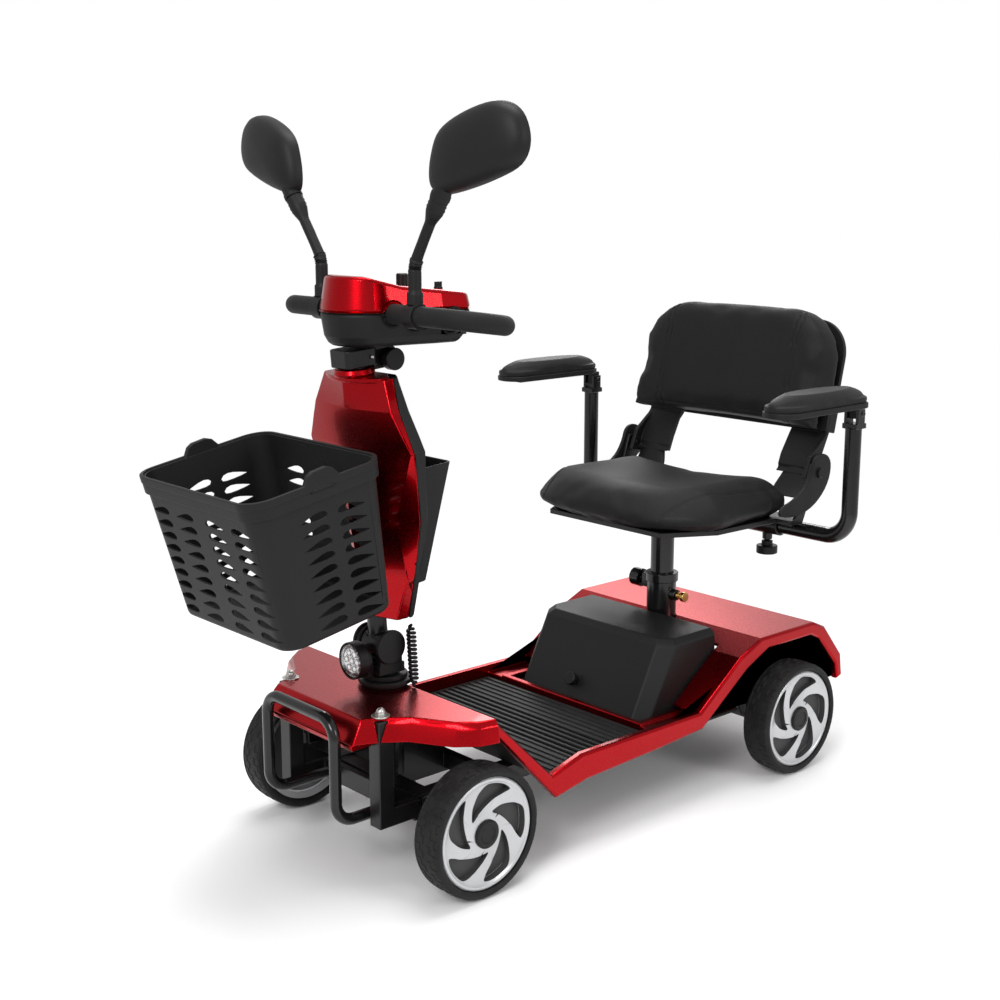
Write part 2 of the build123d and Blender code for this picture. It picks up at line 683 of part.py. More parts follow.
def seat_post():
    post = rod((0, POST_Y, 142), (0, POST_Y, 398), POST_R)
    top = rod((0, POST_Y, 372), (0, POST_Y, 385), 27)
    post += top
    for i in range(4):
        z = 272 - 25 * i
        post -= rod((10, POST_Y, z), (30, POST_Y, z), 3.4)
    return post


def seat_frame():
    plate = plan_slab(symmetric([(120, 440), (165, 520), (170, 684)]), 404, SEAT_Z)
    hub = ring((0, POST_Y, 385.4), (0, POST_Y, 404.5), 34, POST_R + FIT)
    receiver = ring((58, ARM_Y, ARM_Z), (152, ARM_Y, ARM_Z), 16.5, ARM_TUBE_R + FIT)
    nut = rod((124, ARM_Y, ARM_Z - 26), (124, ARM_Y, ARM_Z - 12), 8)
    nut -= rod((50, ARM_Y, ARM_Z), (160, ARM_Y, ARM_Z), ARM_TUBE_R + 1)
    nut -= rod((124, ARM_Y, ARM_Z - 40), (124, ARM_Y, ARM_Z), 4 + FIT)
    receiver -= rod((124, ARM_Y, ARM_Z - 40), (124, ARM_Y, ARM_Z), 4 + FIT)
    hanger = block(60, 150, 670, 696, ARM_Z + 14, SEAT_Z)
    hanger -= rod((50, ARM_Y, ARM_Z), (160, ARM_Y, ARM_Z), 16)
    ear_outline = [(660, SEAT_Z - 8), (684, SEAT_Z - 8), (700, 440), (736, HINGE_Z - 18),
                   (736, HINGE_Z + 14), (704, HINGE_Z + 14), (690, 456)]
    ear = side_slab(ear_outline, 193.5, 199.5)
    strut = block(165, 199.5, 652, 684, 404, SEAT_Z)
    pin = rod((182, HINGE_Y, HINGE_Z), (206, HINGE_Y, HINGE_Z), 6)
    lever = block(-86, -30, POST_Y - 6, POST_Y + 6, 396, 402)
    half = receiver + nut + hanger + ear + strut + pin
    return plate + hub + both_sides(half) + lever


SEAT_HALF = 196.0


def seat_cushion():
    with BuildSketch() as plan:
        with BuildLine():
            Polyline((-SEAT_HALF, 500), (-188, 690), (188, 690), (SEAT_HALF, 500))
            Spline((SEAT_HALF, 500), (146, 428), (0, 398), (-146, 428), (-SEAT_HALF, 500))
        make_face()
    pad = Pos(0, 0, SEAT_Z) * extrude(plan.sketch, 46)
    pad -= block(182, 210, 640, 700, 400, 470) + block(-210, -182, 640, 700, 400, 470)
    return pad


BACK_LEAN = 13.0


def on_back(shape):
    """Backrest frame: origin at the hinge axis, leaning back."""
    return Pos(0, HINGE_Y, HINGE_Z) * Rot(-BACK_LEAN, 0, 0) * shape


def back_frame():
    back_line = [(18, 20), (30, 70), (40, 120)]
    front_line = [(24, 64), (21, 57)]
    leg = side_slab([(-14, -14), (14, -14)] + back_line + [(30, 120)] + front_line + [(-8, 22)], 182.3, 190)
    web = side_slab([(4, -6), (14, -6)] + back_line + [(34, 120)] + front_line + [(8, 22)], 118, 186)
    leg -= rod((170, 0, 0), (210, 0, 0), 6 + FIT)
    web -= rod((100, 0, 0), (210, 0, 0), 7)
    shell = block(-184, 184, 40, 46, 66, 246)
    shell = fillet(shell.edges().filter_by(Axis.Y).group_by(Axis.Z)[-1], 60)
    bridge = block(118, 188, 22, 46, 66, 118)
    return on_back(both_sides(leg + web + bridge) + shell)


def back_cushion():
    pad = block(-190, 190, -10, 39.5, 60, 256)
    pad = fillet(pad.edges().filter_by(Axis.Y).group_by(Axis.Z)[-1], 70)
    pad -= both_sides(block(116, 192, 12, 60, 56, 121))
    return on_back(pad)


def arm_tube():
    points = [(92, ARM_Y, ARM_Z), (ARM_X, ARM_Y, ARM_Z), (ARM_X, ARM_Y, 566)]
    tube = bent_tube(points, 42, ARM_TUBE_R)
    head = block(ARM_X - 13, ARM_X + 13, ARM_Y - 12, ARM_Y + 14, 564, 572)
    cheek = block(ARM_X - 13, ARM_X - 8, ARM_Y - 8, ARM_Y + 10, 570, 594)
    cheek += block(ARM_X + 8, ARM_X + 13, ARM_Y - 8, ARM_Y + 10, 570, 594)
    pin = rod((ARM_X - 15, ARM_Y + 4, 587), (ARM_X + 15, ARM_Y + 4, 587), 4)
    return tube + head + cheek + pin


PAD_FRONT, PAD_REAR = 484.0, 698.0


def arm_pad():
    with BuildSketch() as plan:
        with Locations((ARM_X + 5, (PAD_FRONT + PAD_REAR) / 2)):
            SlotOverall(PAD_REAR - PAD_FRONT, 62, rotation=90)
    pad = Pos(0, 0, 600) * extrude(plan.sketch, 32)
    bracket = block(ARM_X - 7.6, ARM_X + 7.6, PAD_FRONT + 30, ARM_Y + 4, 596, 600.5)
    bracket += block(ARM_X - 7.6, ARM_X + 7.6, ARM_Y - 4, ARM_Y + 12, 579, 600)
    bracket -= rod((ARM_X - 20, ARM_Y + 4, 587), (ARM_X + 20, ARM_Y + 4, 587), 4 + FIT)
    return pad + bracket


def arm_knob():
    z = ARM_Z - ARM_TUBE_R
    stem = rod((124, ARM_Y, z - 0.4), (124, ARM_Y, z - 26), 4)
    neck = rod((124, ARM_Y, z - 16), (124, ARM_Y, z - 25), 9)
    return stem + neck + rod((124, ARM_Y, z - 24), (124, ARM_Y, z - 37), 17)


# ---------------------------------------------------------------- assemble

for make in (main_frame, front_cowl, body_shell, floor_tray, floor_mat, bumper, cowl_bolts, seat_socket,
             seat_pin, transaxle, controller, base_ring, battery_cover, batteries, cover_knob, tie_rod,
             steering_stem, headlight, headlight_lens, tiller_tube, tiller_knob, shroud_front, shroud_back,
             console_lower, console_upper, handlebar, throttle_lever, speed_dial, key, horn_button, basket,
             storage_bin, coil_cord, seat_post, seat_frame, seat_cushion, back_frame, back_cushion):
    parts[make.__name__] = make()

for make in (knuckle, mirror_stem, mirror_shell, mirror_glass, arm_tube, arm_pad, arm_knob):
    left = make()
    parts[make.__name__ + "_left"] = left
    parts[make.__name__ + "_right"] = mirrored(left)

for end, y, x in (("front", 0.0, FRONT_TRACK_HALF), ("rear", WHEELBASE, REAR_TRACK_HALF)):
    for hand, side in (("left", 1), ("right", -1)):
        parts[f"tyre_{end}_{hand}"] = tyre(side * x, y)
        parts[f"wheel_{end}_{hand}"] = wheel(side * x, y, side)

os.makedirs("parts", exist_ok=True)
low, high = [1e9] * 3, [-1e9] * 3
for name, shape in parts.items():
    placed = Pos(0, -AXLE_TO_ORIGIN, -GROUND) * shape
    placed.label = name
    export_step(placed, f"parts/{name}.step")
    bounds = placed.bounding_box()
    low = [min(a, b) for a, b in zip(low, tuple(bounds.min))]
    high = [max(a, b) for a, b in zip(high, tuple(bounds.max))]
print(len(parts), "nodes; overall box", [round(v, 1) for v in low], [round(v, 1) for v in high])
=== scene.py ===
import bpy
import bmesh
import json
from math import radians, sin, cos, atan2, pi, tau, hypot, sqrt
from mathutils import Vector, Matrix


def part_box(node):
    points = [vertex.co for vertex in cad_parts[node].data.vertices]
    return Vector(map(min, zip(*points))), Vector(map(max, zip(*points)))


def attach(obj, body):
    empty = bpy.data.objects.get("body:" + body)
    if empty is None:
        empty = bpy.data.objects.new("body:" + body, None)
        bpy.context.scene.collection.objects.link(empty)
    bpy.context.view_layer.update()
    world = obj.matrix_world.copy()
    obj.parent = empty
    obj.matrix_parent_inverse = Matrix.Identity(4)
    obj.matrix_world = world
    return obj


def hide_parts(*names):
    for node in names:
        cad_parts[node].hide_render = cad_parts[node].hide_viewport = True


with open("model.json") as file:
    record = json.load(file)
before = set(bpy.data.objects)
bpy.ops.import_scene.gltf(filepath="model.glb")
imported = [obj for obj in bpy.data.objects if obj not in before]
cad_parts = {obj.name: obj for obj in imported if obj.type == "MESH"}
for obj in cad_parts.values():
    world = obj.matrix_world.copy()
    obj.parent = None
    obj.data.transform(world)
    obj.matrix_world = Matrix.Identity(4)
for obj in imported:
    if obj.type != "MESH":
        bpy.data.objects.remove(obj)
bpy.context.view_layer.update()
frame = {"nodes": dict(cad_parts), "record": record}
nodes = frame["nodes"]
record = frame["record"]
scene = bpy.context.scene
bodyOf = {node: body for body, members in record["behaviour"]["bodies"].items() for node in members}
sides = (("left", 1), ("right", -1))

# pieces are drawn in millimetres from the front axle, axleZ up, then moved into the frame
lowTyre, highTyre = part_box("tyre_front_left")
axleY = (lowTyre[1] + highTyre[1]) / 2
wheelR = (highTyre[2] - lowTyre[2]) * 500
axleZ = 96
toFrame = Matrix.Translation((0, axleY, (wheelR - axleZ) / 1000)) @ Matrix.Scale(0.001, 4)


def leaning(y, z, degrees):  # a frame at (0, y, z) turned about X
    return toFrame @ Matrix.Translation((0, y, z)) @ Matrix.Rotation(radians(degrees), 4, "X")


tillerFrame = leaning(-2, 305, 5)
basketFrame = leaning(-67, 396, 10.5)
backFrame = leaning(715, 482, -13)


def spot(x, y, z):
    return toFrame @ Vector((x, y, z))


class Value:  # an output socket, so that sums can be written as they read
    def __init__(self, recipe, socket):
        self.recipe = recipe
        self.socket = socket

    def maths(self, operation, first, second):
        return self.recipe.node("ShaderNodeMath", {"operation": operation}, {0: first, 1: second})

    def __add__(self, other):
        return self.maths("ADD", self, other)

    def __radd__(self, other):
        return self.maths("ADD", other, self)

    def __sub__(self, other):
        return self.maths("SUBTRACT", self, other)

    def __rsub__(self, other):
        return self.maths("SUBTRACT", other, self)

    def __mul__(self, other):
        return self.maths("MULTIPLY", self, other)

    def __rmul__(self, other):
        return self.maths("MULTIPLY", other, self)


class Recipe:  # one material and its nodes
    def __init__(self, name, **constants):
        self.material = bpy.data.materials.new(name)
        self.material.use_nodes = True
        self.tree = self.material.node_tree
        self.shader = self.tree.nodes["Principled BSDF"]
        self.place = None
        self.set(**constants)

    def set(self, **sockets):
        for key, value in sockets.items():
            self.feed(self.shader.inputs[key.replace("_", " ")], value)

    def feed(self, socket, value):
        if isinstance(value, Value):
            self.tree.links.new(value.socket, socket)
        elif socket.type == "RGBA" and len(value) == 3:
            socket.default_value = (*value, 1)
        else:
            socket.default_value = value

    def node(self, kind, settings, inputs, output=0):
        made = self.tree.nodes.new(kind)
        for key, value in settings.items():
            if key == "stops":
                ramp = made.color_ramp.elements
                while len(ramp) < len(value):
                    ramp.new(1)
                for stop, (position, shade) in zip(ramp, value):
                    stop.position = position
                    stop.color = (shade, shade, shade, 1)
            else:
                setattr(made, key, value)
        for key, value in inputs.items():
            self.feed(made.inputs[key], value)
        return Value(self, made.outputs[output])

    def here(self):
        if self.place is None:
            self.place = self.node("ShaderNodeTexCoord", {}, {}, "Object")
        return self.place

    def noise(self, scale, detail=2, roughness=0.5, at=None):
        inputs = {"Vector": at or self.here(), "Scale": scale, "Detail": detail, "Roughness": roughness}
        return self.node("ShaderNodeTexNoise", {}, inputs)

    def cells(self, scale, feature="F1"):
        inputs = {"Vector": self.here(), "Scale": scale}
        return self.node("ShaderNodeTexVoronoi", {"feature": feature}, inputs)

    def ramp(self, value, *stops):
        return self.node("ShaderNodeValToRGB", {"stops": stops}, {"Fac": value})

    def blend(self, factor, first, second):
        return self.node("ShaderNodeMix", {"data_type": "RGBA"}, {0: factor, 6: first, 7: second}, 2)

    def bump(self, height, depth, strength=1.0):
        return self.node("ShaderNodeBump", {}, {"Height": height, "Distance": depth, "Strength": strength})


def candyRed():
    paint = Recipe("candy_red", Metallic=1.0, Coat_Weight=0.22, Coat_Roughness=0.03, Coat_IOR=1.4)
    flake = paint.cells(5200)
    glint = paint.ramp(flake, (0.0, 1), (0.55, 0))
    cloud = paint.noise(9, 3)
    colour = paint.blend(glint * 0.35, (0.40, 0.0012, 0.005), (0.62, 0.004, 0.011))
    paint.set(Base_Color=paint.blend(cloud * 0.3, colour, (0.26, 0.0008, 0.003)))
    paint.set(Roughness=paint.noise(700, 2) * 0.08 + 0.24)
    paint.set(Normal=paint.bump(paint.noise(420, 2), 0.00003, 0.5))
    return paint.material


def mouldedPlastic(name="moulded_black", shade=0.0085, grain=1500, rough=0.5, depth=0.00012):
    plastic = Recipe(name, Specular_IOR_Level=0.24)
    speckle = plastic.noise(grain, 3, 0.65)
    cloud = plastic.noise(14, 4)
    dark = (shade * 0.72, shade * 0.72, shade * 0.74)
    light = (shade * 1.28, shade * 1.28, shade * 1.3)
    plastic.set(Base_Color=plastic.blend(cloud * 0.7 + speckle * 0.3, dark, light))
    plastic.set(Roughness=speckle * 0.16 + cloud * 0.08 + (rough - 0.12))
    plastic.set(Normal=plastic.bump(speckle, depth, 0.7))
    return plastic.material


def powderCoat(name="powder_coat", shade=0.006, rough=0.34, coat=0.12):
    coating = Recipe(name, Coat_Weight=coat, Coat_Roughness=0.12, Specular_IOR_Level=0.3)
    peel = coating.noise(900, 2, 0.4)
    cloud = coating.noise(22, 3)
    coating.set(Base_Color=coating.blend(cloud, (shade * 0.7,) * 3, (shade * 1.4,) * 3))
    coating.set(Roughness=peel * 0.12 + cloud * 0.1 + (rough - 0.1))
    coating.set(Normal=coating.bump(peel, 0.00008, 0.6))
    return coating.material


def metal(name, colour, rough, grain=260, stretch=(1, 1, 1), depth=0.00004):
    bright = Recipe(name, Metallic=1.0)
    at = bright.node("ShaderNodeMapping", {}, {"Vector": bright.here(), "Scale": stretch})
    lines = bright.noise(grain, 3, 0.6, at)
    stain = bright.noise(30, 4)
    duller = tuple(c * 0.72 for c in colour)
    bright.set(Base_Color=bright.blend(stain * 0.6, colour, duller))
    bright.set(Roughness=lines * 0.18 + stain * 0.1 + (rough - 0.12))
    bright.set(Normal=bright.bump(lines, depth, 0.5))
    return bright.material


def silverPaint():
    paint = Recipe("wheel_silver", Metallic=0.7, Coat_Weight=0.5, Coat_Roughness=0.15)
    flake = paint.ramp(paint.cells(4200), (0.0, 1), (0.6, 0))
    cloud = paint.noise(25, 3)
    colour = paint.blend(flake * 0.4, (0.50, 0.51, 0.52), (0.8, 0.8, 0.81))
    paint.set(Base_Color=paint.blend(cloud * 0.3, colour, (0.40, 0.41, 0.42)))
    paint.set(Roughness=cloud * 0.12 + 0.28, Normal=paint.bump(paint.noise(600, 2), 0.00004, 0.5))
    return paint.material


def tyreRubber():
    rubber = Recipe("tyre_rubber", Specular_IOR_Level=0.22)
    fine = rubber.noise(1100, 4, 0.7)
    dust = rubber.noise(40, 5, 0.6)
    worn = rubber.ramp(dust, (0.42, 0), (0.72, 1))
    rubber.set(Base_Color=rubber.blend(worn * 0.7, (0.007, 0.007, 0.0072), (0.018, 0.0178, 0.0175)))
    rubber.set(Roughness=fine * 0.15 + worn * 0.12 + 0.48, Normal=rubber.bump(fine, 0.00025, 0.6))
    return rubber.material


def foamRubber(name="foam_grip", shade=0.0085, rough=0.6):
    foam = Recipe(name, Specular_IOR_Level=0.22, Sheen_Weight=0.03)
    pores = foam.ramp(foam.cells(1500), (0.0, 0), (0.45, 1))
    cloud = foam.noise(30, 3)
    foam.set(Base_Color=foam.blend(cloud, (shade * 0.75,) * 3, (shade * 1.3,) * 3))
    foam.set(Roughness=pores * 0.1 + cloud * 0.06 + (rough - 0.08), Normal=foam.bump(pores, 0.00018, 0.6))
    return foam.material


def vinyl():
    skin = Recipe("seat_vinyl", Specular_IOR_Level=0.16, Sheen_Weight=0.01)
    pebbles = skin.ramp(skin.cells(620, "SMOOTH_F1"), (0.05, 0), (0.6, 1))
    creases = skin.ramp(skin.cells(260, "DISTANCE_TO_EDGE"), (0.0, 0), (0.09, 1))
    cloud = skin.noise(11, 4)
    height = pebbles * 0.65 + creases * 0.35
    mottle = cloud * 0.8 + pebbles * 0.2
    skin.set(Base_Color=skin.blend(mottle, (0.0065, 0.0065, 0.0068), (0.0115, 0.0115, 0.012)))
    skin.set(Roughness=0.6 - pebbles * 0.08 + cloud * 0.08, Normal=skin.bump(height, 0.00022, 0.7))
    return skin.material


def matRubber():
    rubber = Recipe("mat_rubber", Specular_IOR_Level=0.22)
    fine = rubber.noise(900, 3, 0.6)
    scuff = rubber.ramp(rubber.noise(35, 5, 0.65), (0.45, 0), (0.8, 1))
    rubber.set(Base_Color=rubber.blend(scuff * 0.5, (0.008, 0.0083, 0.0083), (0.02, 0.0205, 0.0205)))
    rubber.set(Roughness=fine * 0.12 + 0.5, Normal=rubber.bump(fine, 0.00015, 0.6))
    return rubber.material


def castMetal():
    cast = Recipe("cast_metal", Metallic=0.55)
    grit = cast.noise(500, 5, 0.75)
    stain = cast.noise(18, 4)
    cast.set(Base_Color=cast.blend(stain, (0.07, 0.07, 0.073), (0.14, 0.14, 0.145)))
    cast.set(Roughness=grit * 0.25 + 0.38, Normal=cast.bump(grit, 0.0004, 0.7))
    return cast.material


def clearLens():
    lens = Recipe("clear_lens", Transmission_Weight=1.0, IOR=1.49, Base_Color=(0.97, 0.98, 0.98))
    lens.set(Roughness=lens.noise(60, 3) * 0.03, Normal=lens.bump(lens.cells(420), 0.00006, 0.3))
    return lens.material


def silvering():
    glass = Recipe("silvering", Metallic=1.0, Base_Color=(0.86, 0.88, 0.9), Coat_Weight=0.6)
    glass.set(Roughness=glass.noise(12, 4) * 0.02 + 0.008)
    return glass.material


def ledGlow():
    glow = Recipe("led", Emission_Strength=0.6, Base_Color=(0.95, 0.95, 0.86))
    glow.set(Emission_Color=glow.blend(glow.noise(900), (1, 0.98, 0.85), (0.9, 0.92, 1)), Roughness=0.3)
    return glow.material


red = candyRed()
plastic = mouldedPlastic()
deepPlastic = mouldedPlastic("deep_black", 0.006, 1300, 0.42, 0.00008)
coat = powderCoat()
glossBlack = powderCoat("gloss_black", 0.005, 0.2, 0.3)
zinc = metal("zinc", (0.62, 0.61, 0.58), 0.3)
brass = metal("brass", (0.72, 0.46, 0.16), 0.28)
chrome = metal("chrome", (0.85, 0.86, 0.87), 0.16, 90)
alloy = metal("alloy", (0.42, 0.42, 0.43), 0.42, 500)
silver = silverPaint()
pocketGrey = mouldedPlastic("pocket_grey", 0.05, 900, 0.5)
tread = tyreRubber()
foam = foamRubber()
padSkin = foamRubber("pad_skin", 0.0085, 0.52)
cordRubber = foamRubber("cord_rubber", 0.006, 0.42)
seatVinyl = vinyl()
matBlack = matRubber()
cast = castMetal()
lensGlass = clearLens()
mirrorSilver = silvering()
led = ledGlow()
print("materials mixed")


def addPiece(name, bm, node, material, where=toFrame, smooth=32, outward=True):
    # the piece rides the node's body
    bm.transform(where)
    if outward:
        bmesh.ops.recalc_face_normals(bm, faces=bm.faces)
    mesh = bpy.data.meshes.new(name)
    bm.to_mesh(mesh)
    bm.free()
    mesh.shade_smooth()
    mesh.set_sharp_from_angle(angle=radians(smooth))
    mesh.materials.append(material)
    piece = bpy.data.objects.new(name, mesh)
    scene.collection.objects.link(piece)
    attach(piece, bodyOf[node])
    return piece


def modify(piece, kind, **settings):
    modifier = piece.modifiers.new(kind.lower(), kind)
    for key, value in settings.items():
        setattr(modifier, key, value)
    return modifier


def bakedMesh(piece):
    return bpy.data.meshes.new_from_object(piece.evaluated_get(bpy.context.evaluated_depsgraph_get()))


def applied(piece):
    made = bakedMesh(piece)
    piece.modifiers.clear()
    piece.data = made
    return piece


def softEdges(piece, width, segments, angle=28):
    modify(piece, "BEVEL", width=width / 1000, segments=segments, limit_method="ANGLE",
           angle_limit=radians(angle), use_clamp_overlap=False, miter_outer="MITER_ARC")
    modify(piece, "WEIGHTED_NORMAL", keep_sharp=True)
    return piece


def cadMesh(node):  # the node's solid with its triangles joined up
    bm = bmesh.new()
    bm.from_mesh(nodes[node].data)
    bmesh.ops.remove_doubles(bm, verts=bm.verts, dist=0.00002)
    bmesh.ops.dissolve_limit(bm, angle_limit=radians(0.6), verts=bm.verts, edges=bm.edges)
    return bm


def edgedCopy(node, material, width, segments):
    piece = addPiece(node + "_trimmed", cadMesh(node), node, material, Matrix(), outward=False)
    softEdges(piece, width, segments)
    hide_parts(node)


camera = {"place": (1.5815, -1.4629, 0.9152), "pitch": 90 - 11.85, "heading": 48.08, "lens": 53.56}


def setCamera():
    lens = bpy.data.cameras.new("camera")
    lens.lens = camera["lens"]
    lens.sensor_width = 36
    holder = bpy.data.objects.new("camera", lens)
    holder.location = camera["place"]
    holder.rotation_euler = (radians(camera["pitch"]), 0, radians(camera["heading"]))
    scene.collection.objects.link(holder)
    scene.camera = holder


studio = {
    "world": 0.68,
    "floor": 0.95,
    "fadeFrom": 0.75, "fadeTo": 2.2,
    # name: place, aim, size, watts
    "lamps": {
        "key": ((1.6, -3.2, 2.6), (0, 0, 0.4), 1.5, 70),
        "side": ((3.4, 0.6, 1.7), (0, 0, 0.5), 1.2, 26),
        "top": ((0.0, 0.2, 3.4), (0, 0, 0.3), 2.0, 56),
        "back": ((-2.4, 2.6, 2.2), (0, 0, 0.5), 1.4, 34),
    },
}


def setStudio():
    world = bpy.data.worlds.new("studio")
    scene.world = world
    world.use_nodes = True
    backdrop = world.node_tree.nodes["Background"]
    backdrop.inputs["Color"].default_value = (1, 1, 1, 1)
    rays = world.node_tree.nodes.new("ShaderNodeLightPath")
    level = world.node_tree.nodes.new("ShaderNodeMapRange")
    level.inputs["To Min"].default_value = studio["world"]
    level.inputs["To Max"].default_value = 1.0
    world.node_tree.links.new(rays.outputs["Is Camera Ray"], level.inputs["Value"])
    world.node_tree.links.new(level.outputs["Result"], backdrop.inputs["Strength"])
    for name, (place, aim, size, watts) in studio["lamps"].items():
        light = bpy.data.lights.new(name, "AREA")
        light.shape = "DISK"
        light.size = size
        light.energy = watts
        holder = bpy.data.objects.new(name, light)
        holder.location = place
        holder.rotation_euler = (Vector(aim) - Vector(place)).to_track_quat("-Z", "Y").to_euler()
        scene.collection.objects.link(holder)
    bm = bmesh.new()
    bmesh.ops.create_circle(bm, cap_ends=True, segments=96, radius=14)
    mesh = bpy.data.meshes.new("floor")
    bm.to_mesh(mesh)
    bm.free()
    floor = bpy.data.objects.new("floor", mesh)
    floor.location.z = -0.0005
    scene.collection.objects.link(floor)
    white = Recipe("floor_white", Base_Color=(studio["floor"],) * 3, Roughness=0.9, Specular_IOR_Level=0.1)
    away = white.node("ShaderNodeVectorMath", {"operation": "LENGTH"}, {0: white.here()}, "Value")
    start = studio["fadeFrom"] / studio["fadeTo"]
    fade = white.ramp(away * (1 / studio["fadeTo"]), (0.0, 0), (start, 0), (1.0, 1))
    clear = white.tree.nodes.new("ShaderNodeBsdfTransparent")
    mix = white.node("ShaderNodeMixShader", {}, {0: fade})
    white.tree.links.new(white.shader.outputs[0], mix.socket.node.inputs[1])
    white.tree.links.new(clear.outputs[0], mix.socket.node.inputs[2])
    white.tree.links.new(mix.socket, white.tree.nodes["Material Output"].inputs["Surface"])
    mesh.materials.append(white.material)
    scene.view_settings.view_transform = "Standard"


setCamera()
setStudio()
print("camera and studio set")

coil = {"top": (38, 24, 335), "foot": (42, 26, 247), "turns": 15, "radius": 5, "wire": 4.6}


def addCoilCord():
    top, foot = Vector(coil["top"]), Vector(coil["foot"])
    steps = coil["turns"] * 14
    route = []
    for i in range(steps + 1):
        share = i / steps
        spread = coil["radius"] * min(1, share * 9, (1 - share) * 9)
        turn = tau * coil["turns"] * share
        route.append(top.lerp(foot, share) + Vector((cos(turn) * spread, sin(turn) * spread, 0)))
    route = [spot(*point) for point in route]
    line = bpy.data.curves.new("coiled_lead", "CURVE")
    line.dimensions = "3D"
    line.bevel_depth = coil["wire"] / 2000
    line.bevel_resolution = 3
    line.use_fill_caps = True
    spline = line.splines.new("POLY")
    spline.points.add(len(route) - 1)
    for point, place in zip(spline.points, route):
        point.co = (*place, 1)
    line.materials.append(cordRubber)
    lead = bpy.data.objects.new("coiled_lead", line)
    scene.collection.objects.link(lead)
    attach(lead, bodyOf["coil_cord"])
    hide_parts("coil_cord")
    length = sum((b - a).length for a, b in zip(route, route[1:]))


addCoilCord()
print("coiled lead wound")


def vertsIn(geometry):
    return [part for part in geometry if isinstance(part, bmesh.types.BMVert)]


def everything(bm):
    return bm.verts[:] + bm.edges[:] + bm.faces[:]


def relax(bm, times):
    for turn in range(times):
        bmesh.ops.smooth_vert(bm, verts=bm.verts, factor=0.5, use_axis_x=True, use_axis_y=True,
                              use_axis_z=True)


def carve(piece, bm, where):  # takes the shapes in bm out of the piece
    bm.transform(where)
    bmesh.ops.recalc_face_normals(bm, faces=bm.faces)
    mesh = bpy.data.meshes.new("cutter")
    bm.to_mesh(mesh)
    bm.free()
    cutter = bpy.data.objects.new("cutter", mesh)
    scene.collection.objects.link(cutter)
    modify(piece, "BOOLEAN", object=cutter, operation="DIFFERENCE", solver="EXACT")
    applied(piece)
    bpy.data.objects.remove(cutter)


def loop(bm, points, filled=False):  # a closed ring of vertices
    ring = bmesh.ops.create_circle(bm, segments=len(points), radius=1, cap_ends=filled)["verts"]
    for vertex, place in zip(ring, points):
        vertex.co = place
    return ring


def edgesOf(ring):
    inside = set(ring)
    return list({edge for vertex in ring for edge in vertex.link_edges if set(edge.verts) <= inside})


def slab(bm, points, depth):  # a filled outline carried along depth
    ring = loop(bm, points, True)
    face = next(face for face in ring[0].link_faces if len(face.verts) == len(ring))
    made = bmesh.ops.extrude_face_region(bm, geom=[face])["geom"]
    bmesh.ops.translate(bm, verts=vertsIn(made), vec=depth)


def loft(bm, rings, capFirst=False, capLast=False):
    first = loop(bm, rings[0], capFirst)
    edges = edgesOf(first)
    for i, points in enumerate(rings[1:]):
        made = bmesh.ops.extrude_edge_only(bm, edges=edges)["geom"]
        copies = set(vertsIn(made))
        edges = [part for part in made if isinstance(part, bmesh.types.BMEdge) and set(part.verts) <= copies]
        for vertex in copies:
            source = min(range(len(points)), key=lambda n: (vertex.co - Vector(rings[i][n])).length_squared)
            vertex.co = points[source]
    if capLast:
        bmesh.ops.contextual_create(bm, geom=edges)


def smoothLoop(points, cuts):  # a closed curve through every point
    count, path = len(points), []
    for i in range(count):
        a, b, c, d = (Vector(points[(i + k) % count]) for k in (-1, 0, 1, 2))
        for j in range(cuts):
            t = j / cuts
            path.append(0.5 * (2 * b + (c - a) * t + (2 * a - 5 * b + 4 * c - d) * t * t
                               + (3 * b - a - 3 * c + d) * t ** 3))
    return path


def turned(bm, profile, steps):  # about X, with the profile as (radius, along)
    chain = [bm.verts.new((along, 0, radius)) for radius, along in profile]
    edges = [bm.edges.new(pair) for pair in zip(chain, chain[1:] + chain[:1])]
    bmesh.ops.spin(bm, geom=chain + edges, cent=(0, 0, 0), axis=(1, 0, 0), angle=tau, steps=steps,
                   use_merge=True)
    bmesh.ops.remove_doubles(bm, verts=bm.verts, dist=0.01)


def tubMesh(bottom, top, low, high, corner):
    # bottom and top are each half width, front and rear; the tub is open at the top
    bm = bmesh.new()
    bmesh.ops.create_cube(bm, size=2)
    for vertex in bm.verts:
        half, front, rear = top if vertex.co.z > 0 else bottom
        vertex.co = (half * vertex.co.x, rear if vertex.co.y > 0 else front, high if vertex.co.z > 0 else low)
    corners = [edge for edge in bm.edges if abs(edge.verts[0].co.z - edge.verts[1].co.z) > 1]
    bmesh.ops.bevel(bm, geom=corners, offset=corner, affect="EDGES", segments=8, profile=0.5, material=-1)
    lid = [face for face in bm.faces if all(vertex.co.z > high - 0.1 for vertex in face.verts)]
    bmesh.ops.delete(bm, geom=lid, context="FACES_ONLY")
    return bm


